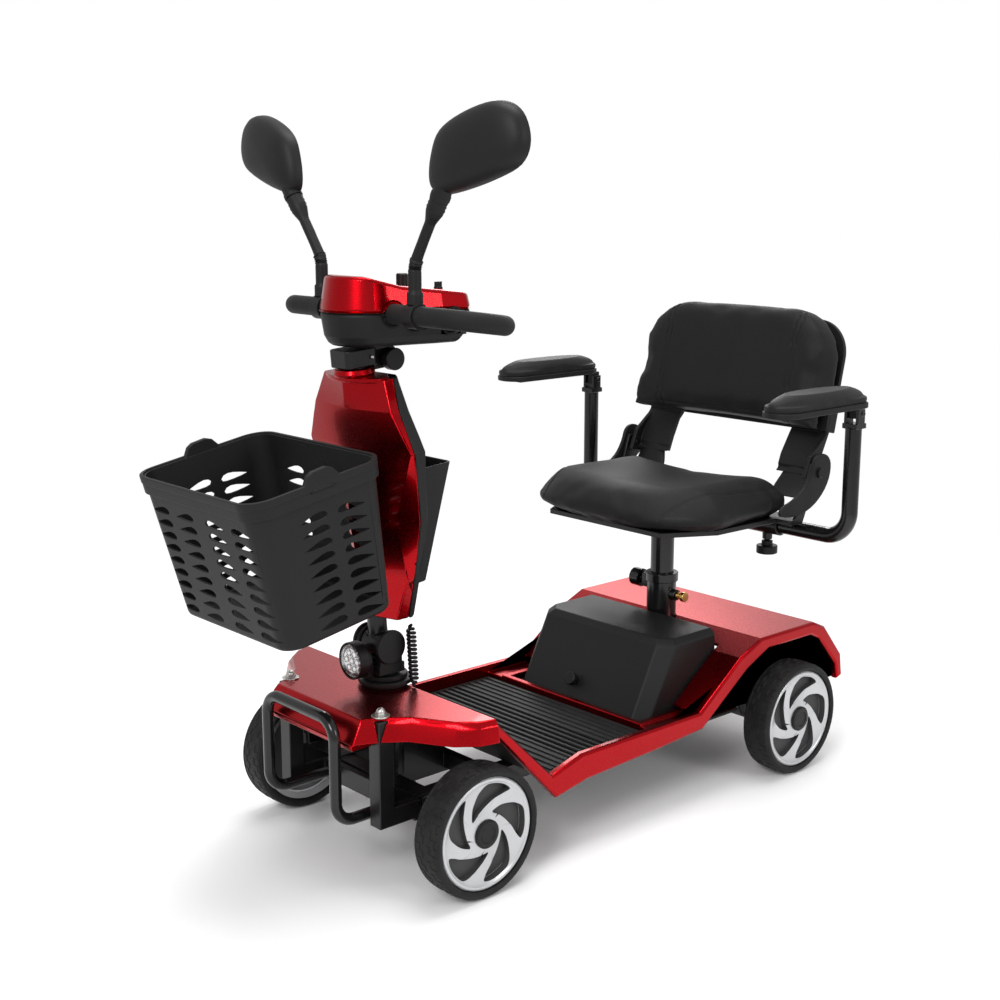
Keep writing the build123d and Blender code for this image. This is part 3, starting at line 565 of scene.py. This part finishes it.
basket = {
    "bottom": (128, -170, 0), "top": (136, -187, 10), "height": 202, "wall": 3, "corner": 28,
    "frontColumns": (34, 93), "rearColumn": 62, "rows": 9, "rearFrom": 3, "firstRow": 17, "pitch": 17.6,
    # each column on a side: its place, which way its leaves face, how far they sit below the front's
    "sideColumns": ((-97, 1, 0), (-42, -1, 2)), "sideTaper": 8,
    # the leaf's tail is on its left
    "leaf": [(-22, -2.6), (-11, 1.2), (0, 4.4), (9, 5.6), (16, 4.2), (20, 0.4), (18, -3.4), (11, -4.6),
             (0, -4.6), (-12, -3.9)],
    # the rim is a wide band, then a thin lip: low and high below the top edge, how far out, thickness
    "rims": {"band": (24, 9, 3.4, 3.2), "lip": (10, 0, 5.0, 4.6)},
    "lug": [(-118, 196), (-112, 202), (-106, 212), (-98, 216), (-78, 217), (-68, 213), (-60, 203),
            (-54, 196)],
    "lugInner": 133.5, "lugThick": 7, "plateInner": 139, "plateThick": 2.4, "floorEdge": 7,
    "foot": [(-96, -150, -1), (96, -150, -1), (96, -10, -1), (-96, -10, -1)], "footThick": 4,
}


def cutSlots(piece):
    bm = bmesh.new()
    for row in range(basket["rows"]):
        u = basket["firstRow"] + basket["pitch"] * row
        share = u / basket["height"]
        for side in (1, -1):
            for x in basket["frontColumns"]:
                slab(bm, [(side * (x - a), -205, u + b) for a, b in basket["leaf"]], (0, 50, 0))
            if row >= basket["rearFrom"]:
                x = basket["rearColumn"]
                slab(bm, [(side * (x - a), -12, u + b) for a, b in basket["leaf"]], (0, 40, 0))
            for v, facing, drop in basket["sideColumns"]:
                middle = v - basket["sideTaper"] * share
                slab(bm, [(side * 112, middle + facing * a, u + b - drop) for a, b in basket["leaf"]],
                     (side * 40, 0, 0))
    carve(piece, bm, basketFrame)


def addBasket():
    top, height, corner = basket["top"], basket["height"], basket["corner"]
    bm = tubMesh(basket["bottom"], top, 0, height - 2, corner)
    floorEdges = [edge for edge in bm.edges if all(vertex.co.z < 0.1 for vertex in edge.verts)]
    bmesh.ops.bevel(bm, geom=floorEdges, offset=basket["floorEdge"], affect="EDGES", segments=3, profile=0.5,
                    material=-1)
    tub = addPiece("basket_tub", bm, "basket", plastic, basketFrame)
    modify(tub, "SOLIDIFY", thickness=basket["wall"] / 1000, offset=-1, use_even_offset=True)
    applied(tub)
    cutSlots(tub)
    softEdges(tub, 0.6, 2, 40)
    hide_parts("basket")
    for name, (below, upTo, out, wall) in basket["rims"].items():
        low, high = height - below, height - upTo
        grown = (top[0] + out, top[1] - out, top[2] + min(out, 4))
        lean = (high - low) * 0.06
        less = (grown[0] - lean, grown[1] + lean, grown[2])
        bm = tubMesh(less, grown, low, high, corner + out)
        base = [face for face in bm.faces if all(vertex.co.z < low + 0.1 for vertex in face.verts)]
        bmesh.ops.delete(bm, geom=base, context="FACES_ONLY")
        rim = addPiece("basket_" + name, bm, "basket", plastic, basketFrame)
        modify(rim, "SOLIDIFY", thickness=wall / 1000, offset=-1, use_even_offset=True)
        softEdges(rim, 0.8, 2, 40)
    for hand, side in sides:
        bm = bmesh.new()
        x, thick = side * basket["lugInner"], side * basket["lugThick"]
        slab(bm, [(x, v, u) for v, u in basket["lug"]], (thick, 0, 0))
        x, thick = side * basket["plateInner"], side * basket["plateThick"]
        slab(bm, [(x, v * 0.6 - 35, u * 0.35 + 122) for v, u in basket["lug"]], (thick, 0, 0))
        lug = addPiece("basket_lug_" + hand, bm, "basket", plastic, basketFrame)
        softEdges(lug, 1.6, 3, 30)
    bm = bmesh.new()
    slab(bm, basket["foot"], (0, 0, -basket["footThick"]))
    foot = addPiece("basket_foot", bm, "basket", plastic, basketFrame)
    softEdges(foot, 1.2, 2)


addBasket()
print("basket moulded and slotted")

wheel = {
    # profiles are (radius, along the axle), and the pocket is (radius, degrees)
    "face": [(76.4, 15), (76.6, 19.5), (75.4, 21.4), (72, 21.6), (69.4, 19.6), (58, 16.6), (44, 15.4),
             (30, 16.4), (22, 18.6), (0.4, 19), (0.4, 7), (76.4, 7)],
    "barrel": [(76.6, 9), (76.6, 20), (74.5, 20), (70, 14), (68, 2), (68, -16), (76.6, -20), (76.6, -17),
               (66, -14), (65, 8)],
    "backing": [(70, 6), (70, 8.2), (20, 8.2), (20, 6)],
    "cap": [(19.6, 17), (19.6, 21.6), (17.6, 23.4), (13, 23.6), (11, 22.2), (0.3, 22.2), (0.3, 17)],
    "pocket": [(67.5, -2), (61, 8), (52, 17.5), (41, 31), (29.5, 46), (30.5, 24), (34.7, 4), (40, -10),
               (48, -23), (58, -35), (66, -39), (68, -28), (68, -15)],
    "spokes": 5,
}
tyre = {
    "profile": [(70, 14), (77.4, 15.6), (78.2, 22.6), (81, 24.6), (84.5, 24.4), (87.2, 21.8), (88.4, 17.4),
                (88.9, 9.4), (89, 3.4)],
    "steps": 54, "raise": 0.9, "gap": 0.9,
    # where the blocks start from the axle, then distances from the middle plane
    "treadFrom": 86.5, "rib": 3.4, "row": 9.4, "shoulder": 17.4, "treadHalf": 21,
}


def wheelPlace(end, side):
    low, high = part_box(f"tyre_{end}_{'left' if side > 0 else 'right'}")
    middle = (Vector(low) + Vector(high)) / 2
    turn = Matrix.Rotation(0 if side > 0 else pi, 4, "Z")
    return Matrix.Translation(middle) @ turn @ Matrix.Scale(0.001, 4)


def cutPockets(piece, where):
    bm = bmesh.new()
    for i in range(wheel["spokes"]):
        outline = []
        for radius, angle in wheel["pocket"]:
            a = radians(angle + 360 / wheel["spokes"] * i)
            outline.append((5, -radius * sin(a), radius * cos(a)))
        slab(bm, smoothLoop(outline, 5), (30, 0, 0))
    carve(piece, bm, where)
    # the pockets' walls are darker than the face
    piece.data.materials.append(pocketGrey)
    for face in piece.data.polygons:
        if abs(face.normal.x) < 0.25 and (face.center - where.translation).yz.length < 0.0695:
            face.material_index = 1


def addWheel(end, hand, side):
    node = f"wheel_{end}_{hand}"
    where = wheelPlace(end, side)
    for part, material, steps in (("face", silver, 80), ("barrel", silver, 64), ("backing", pocketGrey, 48),
                                  ("cap", deepPlastic, 40)):
        bm = bmesh.new()
        turned(bm, wheel[part], steps)
        piece = addPiece(f"wheel_{part}_{end}_{hand}", bm, node, material, where, 30)
        if part == "face":
            cutPockets(piece, where)
            softEdges(piece, 0.7, 2, 40)
            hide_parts(node)


def addTyre(end, hand, side):
    node = f"tyre_{end}_{hand}"
    bm = bmesh.new()
    half = tyre["profile"]
    turned(bm, half + [(radius, -along) for radius, along in reversed(half)], tyre["steps"])
    bmesh.ops.recalc_face_normals(bm, faces=bm.faces)
    blocks, step = [], tau / tyre["steps"]
    for face in bm.faces:
        middle = face.calc_center_median()
        across, turn = abs(middle.x), round(atan2(middle.y, middle.z) / step - 0.5)
        if hypot(middle.y, middle.z) > tyre["treadFrom"] and tyre["rib"] < across < tyre["treadHalf"]:
            odd = (turn + (middle.x > 0) + (across > tyre["row"])) % 2
            if odd or across > tyre["shoulder"]:
                blocks.append(face)
    bmesh.ops.inset_individual(bm, faces=blocks, thickness=tyre["gap"], depth=tyre["raise"])
    piece = addPiece(f"tyre_treaded_{end}_{hand}", bm, node, tread, wheelPlace(end, side), 40)
    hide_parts(node)


for end in ("front", "rear"):
    for hand, side in sides:
        addWheel(end, hand, side)
        addTyre(end, hand, side)
print("wheels and tyres turned")

mirror = {
    "outline": [(135, 926), (137, 957), (155, 990), (204, 1012), (258, 1021), (293, 1007), (306, 975),
                (291, 948), (243, 930), (182, 916), (150, 914)],
    "centre": (215, 968), "y": -8, "toe": 6, "narrow": 0.9,
    # scale of the outline, then distance rearward; the shell's closed back is forward
    "rings": [(0.955, 1.5), (0.96, 5), (1.0, 5), (1.0, 1), (0.985, -5), (0.95, -10), (0.88, -14.5),
              (0.76, -18.5), (0.6, -21.5), (0.42, -23.5), (0.22, -24.6), (0.05, -25)],
    "pane": [(0.94, 2.2), (0.945, 3.8), (0.93, 4.4)],
    "stalk": [(101, -12, 777), (101, -12, 800), (101, -12, 818), (103, -12, 828), (110, -12.6, 840),
              (124, -13.6, 862), (140, -14.8, 885), (156, -16, 908)],
    "socketAim": (0.5661, -0.0412, 0.8234),
}


def mirrorRing(side, scale, depth):
    cx, cz = mirror["centre"]
    toe = radians(mirror["toe"])
    ring = []
    for point in smoothLoop([(x, 0, z) for x, z in mirror["outline"]], 5):
        x, z = (point.x - cx) * scale * mirror["narrow"], (point.z - cz) * scale
        across, rearward = x * cos(toe) - depth * sin(toe), x * sin(toe) + depth * cos(toe)
        ring.append((side * (cx + across), mirror["y"] + rearward, cz + z))
    return ring


def rod(name, path, radiusAt, node, cuts):
    # a plastic bar along a path whose thickness follows radiusAt(share)
    line = bpy.data.curves.new(name, "CURVE")
    line.dimensions = "3D"
    line.bevel_depth = 0.001
    line.bevel_resolution = 6
    line.use_fill_caps = True
    dense = []
    for a, b in zip(path, path[1:]):
        dense += [Vector(a).lerp(Vector(b), j / cuts) for j in range(cuts)]
    dense.append(Vector(path[-1]))
    spline = line.splines.new("POLY")
    spline.points.add(len(dense) - 1)
    for i, (point, place) in enumerate(zip(spline.points, dense)):
        point.co = (*spot(*place), 1)
        point.radius = radiusAt(i / (len(dense) - 1))
    holder = bpy.data.objects.new(name, line)
    scene.collection.objects.link(holder)
    bm = bmesh.new()
    bm.from_mesh(bakedMesh(holder))
    bpy.data.objects.remove(holder)
    bmesh.ops.remove_doubles(bm, verts=bm.verts, dist=0.00001)
    addPiece(name, bm, node, plastic, Matrix(), 40)


def stalkRadius(share):  # nut, rubber sleeve, bellows, bar, then the ball joint's nut
    if share < 0.1:
        return 10.5
    if share < 0.3:
        return 8.6
    if share < 0.5:
        return 8.2 + 0.9 * sin(share * 190)
    if share < 0.82:
        return 7
    if share < 0.9:
        return 7 + (share - 0.82) * 55
    return 11.4 + (0.9 if int(share * 60) % 2 else 0)


def addMirror(hand, side):
    shell, glass, stem = "mirror_shell_" + hand, "mirror_glass_" + hand, "mirror_stem_" + hand
    bm = bmesh.new()
    loft(bm, [mirrorRing(side, *ring) for ring in mirror["rings"]], True, True)
    case = addPiece("mirror_case_" + hand, bm, shell, plastic, smooth=70)
    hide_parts(shell)
    bm = bmesh.new()
    loft(bm, [mirrorRing(side, *ring) for ring in mirror["pane"]], True, True)
    pane = addPiece("mirror_pane_" + hand, bm, glass, mirrorSilver, smooth=30)
    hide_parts(glass)
    x, y, z = mirror["socketAim"]
    along = Vector((side * x, y, z))
    x, y, z = mirror["stalk"][-1]
    top = Vector((side * x, y, z))
    rod("mirror_collar_" + hand, [top + along * reach for reach in (0.5, 9, 20)],
        lambda share: 13 if share < 0.45 else 12, shell, 4)
    rod("mirror_stalk_" + hand, [(side * x, y, z) for x, y, z in mirror["stalk"]], stalkRadius, stem, 10)
    edgedCopy(stem, plastic, 0.6, 2)


for hand, side in sides:
    addMirror(hand, side)
print("mirrors shaped")


def puffed(bm, voxel, pressure, cap, smoothing=24):
    # the shape swells as a stuffed cover does, and no point moves more than cap
    mesh = bpy.data.meshes.new("stuffing")
    bm.to_mesh(mesh)
    bm.free()
    dummy = bpy.data.objects.new("stuffing", mesh)
    scene.collection.objects.link(dummy)
    modify(dummy, "REMESH", mode="VOXEL", voxel_size=voxel / 1000)
    applied(dummy)
    before = [vertex.co.copy() for vertex in dummy.data.vertices]
    cloth = modify(dummy, "CLOTH")
    cloth.settings.quality = 4
    cloth.settings.tension_stiffness = cloth.settings.compression_stiffness = 6
    cloth.settings.shear_stiffness = 6
    cloth.settings.bending_stiffness = 8
    cloth.settings.use_pressure = True
    cloth.settings.uniform_pressure_force = pressure
    cloth.settings.effector_weights.gravity = 0
    cloth.collision_settings.use_collision = False
    for step in range(1, 21):
        scene.frame_set(step)
    applied(dummy)
    scene.frame_set(1)
    for vertex, start in zip(dummy.data.vertices, before):
        move = vertex.co - start
        if move.length > cap / 1000:
            vertex.co = start + move.normalized() * (cap / 1000)
    modify(dummy, "SUBSURF", levels=1, render_levels=1)
    applied(dummy)
    bm = bmesh.new()
    bm.from_mesh(dummy.data)
    bpy.data.objects.remove(dummy)
    relax(bm, smoothing)
    return bm


def shrunk(node, inset):
    # the node's solid, smaller by about inset all round, still in the frame
    bm = cadMesh(node)
    low, high = (Vector(corner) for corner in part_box(node))
    middle, size = (low + high) / 2, high - low
    scale = [max(0.1, 1 - 2 * inset / 1000 / side) for side in size]
    bmesh.ops.scale(bm, verts=bm.verts, vec=scale, space=Matrix.Translation(-middle))
    return bm


def groove(distance):  # 1 on a seam, falling to 0 at 2.8 mm to each side
    return max(0.0, 1 - abs(distance) / 2.8) ** 1.4


seat = {
    "voxel": 6, "pressure": 4, "cap": 12, "half": 196, "front": 398, "rear": 690, "frontSweep": 102,
    # heights of the flat underside, of the stuffed shape's top and of the crown
    "under": 412, "tall": 46, "crown": 463, "edge": 64, "crestDrop": 22, "underRise": 9,
    "dishDepth": 7, "dishY": 600, "dishHalf": 120,
    # the bolster seam's distance from the middle, at the front and further back
    "seam": 3.6, "seamFront": 108, "seamRear": 160, "seamY": 410, "seamBend": 120,
}
back = {
    "voxel": 6, "pressure": 4, "cap": 10, "half": 190, "low": 60, "top": 256, "corner": 84, "strip": 8,
    "seams": (128, 137), "hem": 78, "seam": 3.2, "hemDepth": 3, "faceDepth": 18, "wrap": 14, "forward": 3,
}
pad = {
    "voxel": 4, "pressure": 3, "cap": 4, "x": 284, "half": 31, "halfLength": 107,
    # the cushion starts at floor, is sliced from the solid at slice, and the hard base ends at base
    "slice": 601, "floor": 606, "base": 608, "shoulder": 609, "crown": 631.5, "narrow": 0.95, "flatten": 0.7,
}


def seatRim(x, y):  # distance in from the seat's outline, roughly
    front = seat["front"] + seat["frontSweep"] * (abs(x) / seat["half"]) ** 2.3
    side = seat["half"] - 8 * max(0, (y - 500) / 190)
    return max(0, min((y - front) * 0.85, side - abs(x), (seat["rear"] - y) * 1.6))


def addSeat():
    bm = puffed(shrunk("seat_cushion", 3), seat["voxel"], seat["pressure"], seat["cap"])
    bm.transform(toFrame.inverted())
    for vertex in bm.verts:
        x, y, z = vertex.co
        out = max(0, 1 - seatRim(x, y) / seat["edge"])
        share = (z - seat["under"]) / seat["tall"]
        along = (y - seat["dishY"]) / seat["dishHalf"]
        dish = max(0, 1 - (x / seat["dishHalf"]) ** 2) * max(0, 1 - along ** 2)
        top = seat["crown"] - seat["dishDepth"] * dish - seat["crestDrop"] * out ** 2
        under = seat["under"] + seat["underRise"] * min(1, out * 1.5)
        z = under + share * (top - under)
        if share > 0.55:
            bend = min(1, max(0, (y - seat["seamY"]) / seat["seamBend"]))
            line = seat["seamFront"] + (seat["seamRear"] - seat["seamFront"]) * bend ** 0.7
            z -= seat["seam"] * groove(abs(x) - line)
        vertex.co = (x, y, z)
    piece = addPiece("seat_cover", bm, "seat_cushion", seatVinyl, smooth=80)
    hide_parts("seat_cushion")


def furthest(bm, across, along):  # how far the shape reaches along one axis, strip by strip over the other
    reach = {}
    for vertex in bm.verts:
        strip = round(abs(vertex.co[across]) / back["strip"])
        reach[strip] = max(reach.get(strip, 0), abs(vertex.co[along]))
    return reach


def reachAt(reach, place, missing):  # between the two nearest strips
    strip = place / back["strip"]
    near = reach.get(int(strip), missing)
    return near + (reach.get(int(strip) + 1, near) - near) * (strip % 1)


def squared(bm):  # stretches the stuffed back to its full outline
    half, low, top, corner = back["half"], back["low"], back["top"], back["corner"]
    tallest = furthest(bm, 0, 2)
    for vertex in bm.verts:
        reach = reachAt(tallest, abs(vertex.co.x), top)
        over = max(0, abs(vertex.co.x) - (half - corner))
        line = top - corner + sqrt(max(0, corner ** 2 - over ** 2))
        vertex.co.z = low + (vertex.co.z - low) * max(0.9, min(1.25, (line - low) / max(40, reach - low)))
    widest = furthest(bm, 2, 0)
    for vertex in bm.verts:
        reach = reachAt(widest, vertex.co.z, half)
        over = max(0, vertex.co.z - (top - corner))
        line = half - corner + sqrt(max(0, corner ** 2 - over ** 2))
        vertex.co.x *= max(0.9, min(1.15, line / max(60, reach)))
    relax(bm, 6)


def addBack():
    bm = puffed(shrunk("back_cushion", 2), back["voxel"], back["pressure"], back["cap"])
    bm.transform(backFrame.inverted())
    squared(bm)
    for vertex in bm.verts:
        x, v, w = vertex.co
        if v < back["faceDepth"]:
            v += back["seam"] * sum(groove(abs(x) - seam) for seam in back["seams"])
            v += back["hemDepth"] * groove(w - back["hem"])
        v -= back["wrap"] * (abs(x) / back["half"]) ** 2.6 + back["forward"]
        vertex.co = (x, v, w)
    piece = addPiece("back_cover", bm, "back_cushion", seatVinyl, backFrame, 80)
    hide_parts("back_cushion")


def sliced(bm, height, keepAbove):  # cut level at a height and closed again
    bmesh.ops.bisect_plane(bm, geom=everything(bm), plane_co=(0, 0, height), plane_no=(0, 0, 1),
                           clear_inner=keepAbove, clear_outer=not keepAbove)
    bmesh.ops.contextual_create(bm, geom=[edge for edge in bm.edges if edge.is_boundary])


def addArmPad(hand, side):
    node = "arm_pad_" + hand
    bm = cadMesh(node)
    bm.transform(toFrame.inverted())
    sliced(bm, pad["slice"], True)
    front = min(vertex.co.y for vertex in bm.verts)
    middle = pad["x"] * side
    for vertex in bm.verts:
        vertex.co.x = middle + (vertex.co.x - middle) * pad["narrow"]
        vertex.co.z = pad["floor"] + (vertex.co.z - pad["slice"]) * pad["flatten"]
    bm.transform(toFrame)
    bm = puffed(bm, pad["voxel"], pad["pressure"], pad["cap"], 8)
    bm.transform(toFrame.inverted())
    for vertex in bm.verts:
        along = (vertex.co.y - (front + pad["halfLength"])) / pad["halfLength"]
        off = min(1, hypot((vertex.co.x - middle) / pad["half"], along))
        vertex.co.x = middle + (vertex.co.x - middle) * (1 - 0.08 * min(1, abs(along)) ** 3)
        if vertex.co.z > pad["shoulder"]:
            crowned = pad["shoulder"] + (vertex.co.z - pad["shoulder"]) * (0.45 + 0.85 * sqrt(1 - off * off))
            vertex.co.z = min(pad["crown"], crowned)
    addPiece("pad_cover_" + hand, bm, node, padSkin, smooth=80)
    under = cadMesh(node)  # the hard base and bracket below it
    under.transform(toFrame.inverted())
    sliced(under, pad["base"], False)
    base = addPiece("pad_base_" + hand, under, node, plastic)
    softEdges(base, 1.4, 3)
    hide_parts(node)


addSeat()
addBack()
for hand, side in sides:
    addArmPad(hand, side)
print("cushions stuffed")

lamp = {
    "y": -52, "z": 289, "cups": 6, "spread": 11.6,
    "dish": [(21.6, 5.4), (21.6, 2.2), (17, 5.6), (0.3, 6.6), (0.3, 7.6), (21.6, 7.6)],
    "cup": [(4.9, 5.8), (4.9, 3.2), (4.2, 3.2), (2.4, 5.6), (0.2, 5.8)],
    "led": [(1.9, 5.6), (1.6, 4.4), (0.2, 3.8), (0.2, 5.6)],
}


def addLamp():
    where = toFrame @ Matrix.Translation((0, lamp["y"], lamp["z"])) @ Matrix.Rotation(pi / 2, 4, "Z")
    bm = bmesh.new()
    turned(bm, lamp["dish"], 48)
    addPiece("lamp_dish", bm, "headlight", chrome, where, 30)
    turns = [tau * i / lamp["cups"] for i in range(lamp["cups"])]
    for name, material in (("cup", chrome), ("led", led)):  # one in the middle and a ring round it
        bm = bmesh.new()
        turned(bm, lamp[name], 16)
        shape = everything(bm)
        for turn in turns:
            copy = bmesh.ops.duplicate(bm, geom=shape)["geom"]
            bmesh.ops.translate(bm, verts=vertsIn(copy),
                                vec=(0, lamp["spread"] * cos(turn), lamp["spread"] * sin(turn)))
        addPiece("lamp_" + name, bm, "headlight", material, where, 40)


addLamp()
print("headlight filled")

collar = {
    "height": 376, "thick": 6, "outline": [(0, -24), (30, -20), (62, -4), (62, 10), (40, 26), (0, 30)],
}
neck = {
    "ring": [(27, 377), (28, 380), (26, 386), (17, 387), (17, 377)],
    "sleeve": [(18, 384), (18, 389), (14, 389), (14, 384)],
    "screw": [(2.6, 0), (2.6, 2.2), (1.6, 3), (0.3, 3), (0.3, 0)], "screwAt": (22.5, 14, 400),
}
dialKnob = {
    "y": 47, "z": 791.5, "flutes": 20, "radius": 8, "tall": 18,
    "ring": [(12.5, -4), (12.5, 0), (11.4, 1.2), (4.6, 1.2), (4.6, -4)],
}
legs = {
    "inner": 116, "outer": 186, "thick": 9,
    # the sheet's line up the back, rearward and upward of the hinge, with how far its edges pull in
    "line": [(-8, -46, 4), (2, -30, 0), (6, -8, 12), (10, 14, 15), (18, 34, 12), (27, 56, 4), (34, 76, 0),
             (38, 112, 0)],
}
hingePlate = {
    "outline": [(622, 424), (660, 420), (696, 428), (724, 446), (741, 470), (744, 494), (734, 508),
                (716, 512), (702, 504), (694, 484), (678, 462), (650, 446), (624, 438)],
    "inner": 199.8, "thick": 6,
    "bolt": [(8, 0), (8, 3), (6.6, 4.4), (0.4, 4.4), (0.4, 0)], "boltAt": (205.6, 715, 482),
}


def upright(profile, steps=48):  # turned about the vertical, with the profile as (radius, height)
    bm = bmesh.new()
    turned(bm, profile, steps)
    bm.transform(Matrix.Rotation(-pi / 2, 4, "Y"))
    return bm


def addCollar():
    ring = collar["outline"] + [(-x, v) for x, v in reversed(collar["outline"]) if x]
    bm = bmesh.new()
    slab(bm, [(x * 0.97, v, collar["height"] - 5) for x, v in ring], (0, 0, collar["thick"]))
    cap = addPiece("shroud_cap", bm, "shroud_front", red, tillerFrame)
    softEdges(cap, 1.2, 3)


def addNeckRings():
    ring = addPiece("neck_ring_red", upright(neck["ring"]), "shroud_front", red, tillerFrame)
    softEdges(ring, 0.8, 2)
    addPiece("neck_sleeve", upright(neck["sleeve"]), "tiller_tube", glossBlack, tillerFrame)
    bm = upright(neck["screw"], 12)
    bm.transform(Matrix.Translation(neck["screwAt"]) @ Matrix.Rotation(pi / 2, 4, "Y"))
    addPiece("neck_screw", bm, "tiller_tube", zinc, tillerFrame)


def addDial():
    radius, tall = dialKnob["radius"], dialKnob["tall"]
    where = toFrame @ Matrix.Translation((0, dialKnob["y"], dialKnob["z"]))
    profile = [(radius, 1), (radius, tall - 1.4), (radius - 1.4, tall), (0.4, tall), (0.4, 1)]
    bm = upright(profile, dialKnob["flutes"] * 2)
    walls = [face for face in bm.faces
             if abs(face.normal.z) < 0.2 and face.calc_center_median().xy.length > 5]
    bmesh.ops.inset_individual(bm, faces=walls[::2], thickness=0.25, depth=-0.6)
    knob = addPiece("dial_knob", bm, "speed_dial", deepPlastic, where)
    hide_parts("speed_dial")
    ring = addPiece("dial_ring", upright(dialKnob["ring"]), "console_upper", red, where)
    softEdges(ring, 0.5, 2)


def legSection(side, v, w, pull):  # six points round the sheet, which is bent like a shallow channel
    middle, half = (legs["inner"] + legs["outer"]) / 2, (legs["outer"] - legs["inner"]) / 2
    near, far = side * (middle - half + pull), side * (middle + half - pull * 0.3)
    behind = v + legs["thick"]
    return [(near, v, w), (side * middle, v - 3, w), (far, v, w), (far, behind, w),
            (side * middle, behind - 1, w), (near, behind, w)]


def addLeg(hand, side):
    sections = [legSection(side, *station) for station in legs["line"]]
    bm = bmesh.new()
    face = bm.faces.new([bm.verts.new(place) for place in sections[0]])
    for section in sections[1:]:
        face = bmesh.ops.extrude_discrete_faces(bm, faces=[face])["faces"][0]
        for vertex, place in zip(face.verts, section):
            vertex.co = place
    leg = addPiece("back_leg_" + hand, bm, "back_frame", plastic, backFrame, 50)
    modify(leg, "SUBSURF", levels=2, render_levels=2)


def addHingeCover(hand, side):
    bm = bmesh.new()
    outline = smoothLoop([(side * hingePlate["inner"], y, z) for y, z in hingePlate["outline"]], 3)
    slab(bm, outline, (side * hingePlate["thick"], 0, 0))
    softEdges(addPiece("hinge_cover_" + hand, bm, "seat_frame", plastic), 1.6, 3)
    x, y, z = hingePlate["boltAt"]
    bm = upright(hingePlate["bolt"], 24)
    bm.transform(Matrix.Translation((side * x, y, z)) @ Matrix.Rotation(side * pi / 2, 4, "Y"))
    addPiece("hinge_bolt_" + hand, bm, "seat_frame", deepPlastic)


addNeckRings()
addCollar()
addDial()
for hand, side in sides:
    addLeg(hand, side)
    addHingeCover(hand, side)
print("collar, dial and back legs added")

# the other hard pieces keep their CAD shape and get rounded edges: finish, width, segments
trimmed = {
    "front_cowl": (red, 1.6, 3), "body_shell": (red, 1.4, 3), "shroud_front": (red, 1.6, 3),
    "main_frame": (coat, 1.2, 2), "bumper": (glossBlack, 0.6, 2), "floor_tray": (plastic, 1.0, 2),
    "shroud_back": (plastic, 2.5, 3), "battery_cover": (plastic, 2.4, 3), "batteries": (deepPlastic, 1.5, 2),
    "seat_socket": (glossBlack, 0.8, 2), "seat_pin": (brass, 0.8, 2), "transaxle": (cast, 1.5, 2),
    "controller": (alloy, 0.8, 2), "base_ring": (plastic, 1.2, 2), "tie_rod": (zinc, 0.6, 2),
    "steering_stem": (plastic, 1.2, 2), "tiller_tube": (coat, 1.6, 2), "storage_bin": (plastic, 0.9, 2),
    "throttle_lever": (deepPlastic, 1.4, 2), "seat_post": (glossBlack, 0.6, 2), "seat_frame": (coat, 0.9, 2),
    "key": (deepPlastic, 0.4, 2), "horn_button": (deepPlastic, 1.0, 2), "cowl_bolts": (zinc, 0.4, 2),
    "console_lower": (plastic, 6.0, 4), "console_upper": (red, 5.0, 4), "handlebar": (foam, 0.8, 2),
    "floor_mat": (matBlack, 0.7, 2), "cover_knob": (deepPlastic, 1.2, 2),
    "tiller_knob": (deepPlastic, 1.2, 2), "headlight": (deepPlastic, 1.0, 2),
    "headlight_lens": (lensGlass, 1.0, 2), "back_frame": (plastic, 1.5, 2),
}
for hand, side in sides:
    trimmed["knuckle_" + hand] = (coat, 0.6, 2)
    trimmed["arm_tube_" + hand] = (glossBlack, 0.8, 2)
    trimmed["arm_knob_" + hand] = (deepPlastic, 1.2, 2)
for node, (material, width, segments) in trimmed.items():
    edgedCopy(node, material, width, segments)
print("hard pieces trimmed")
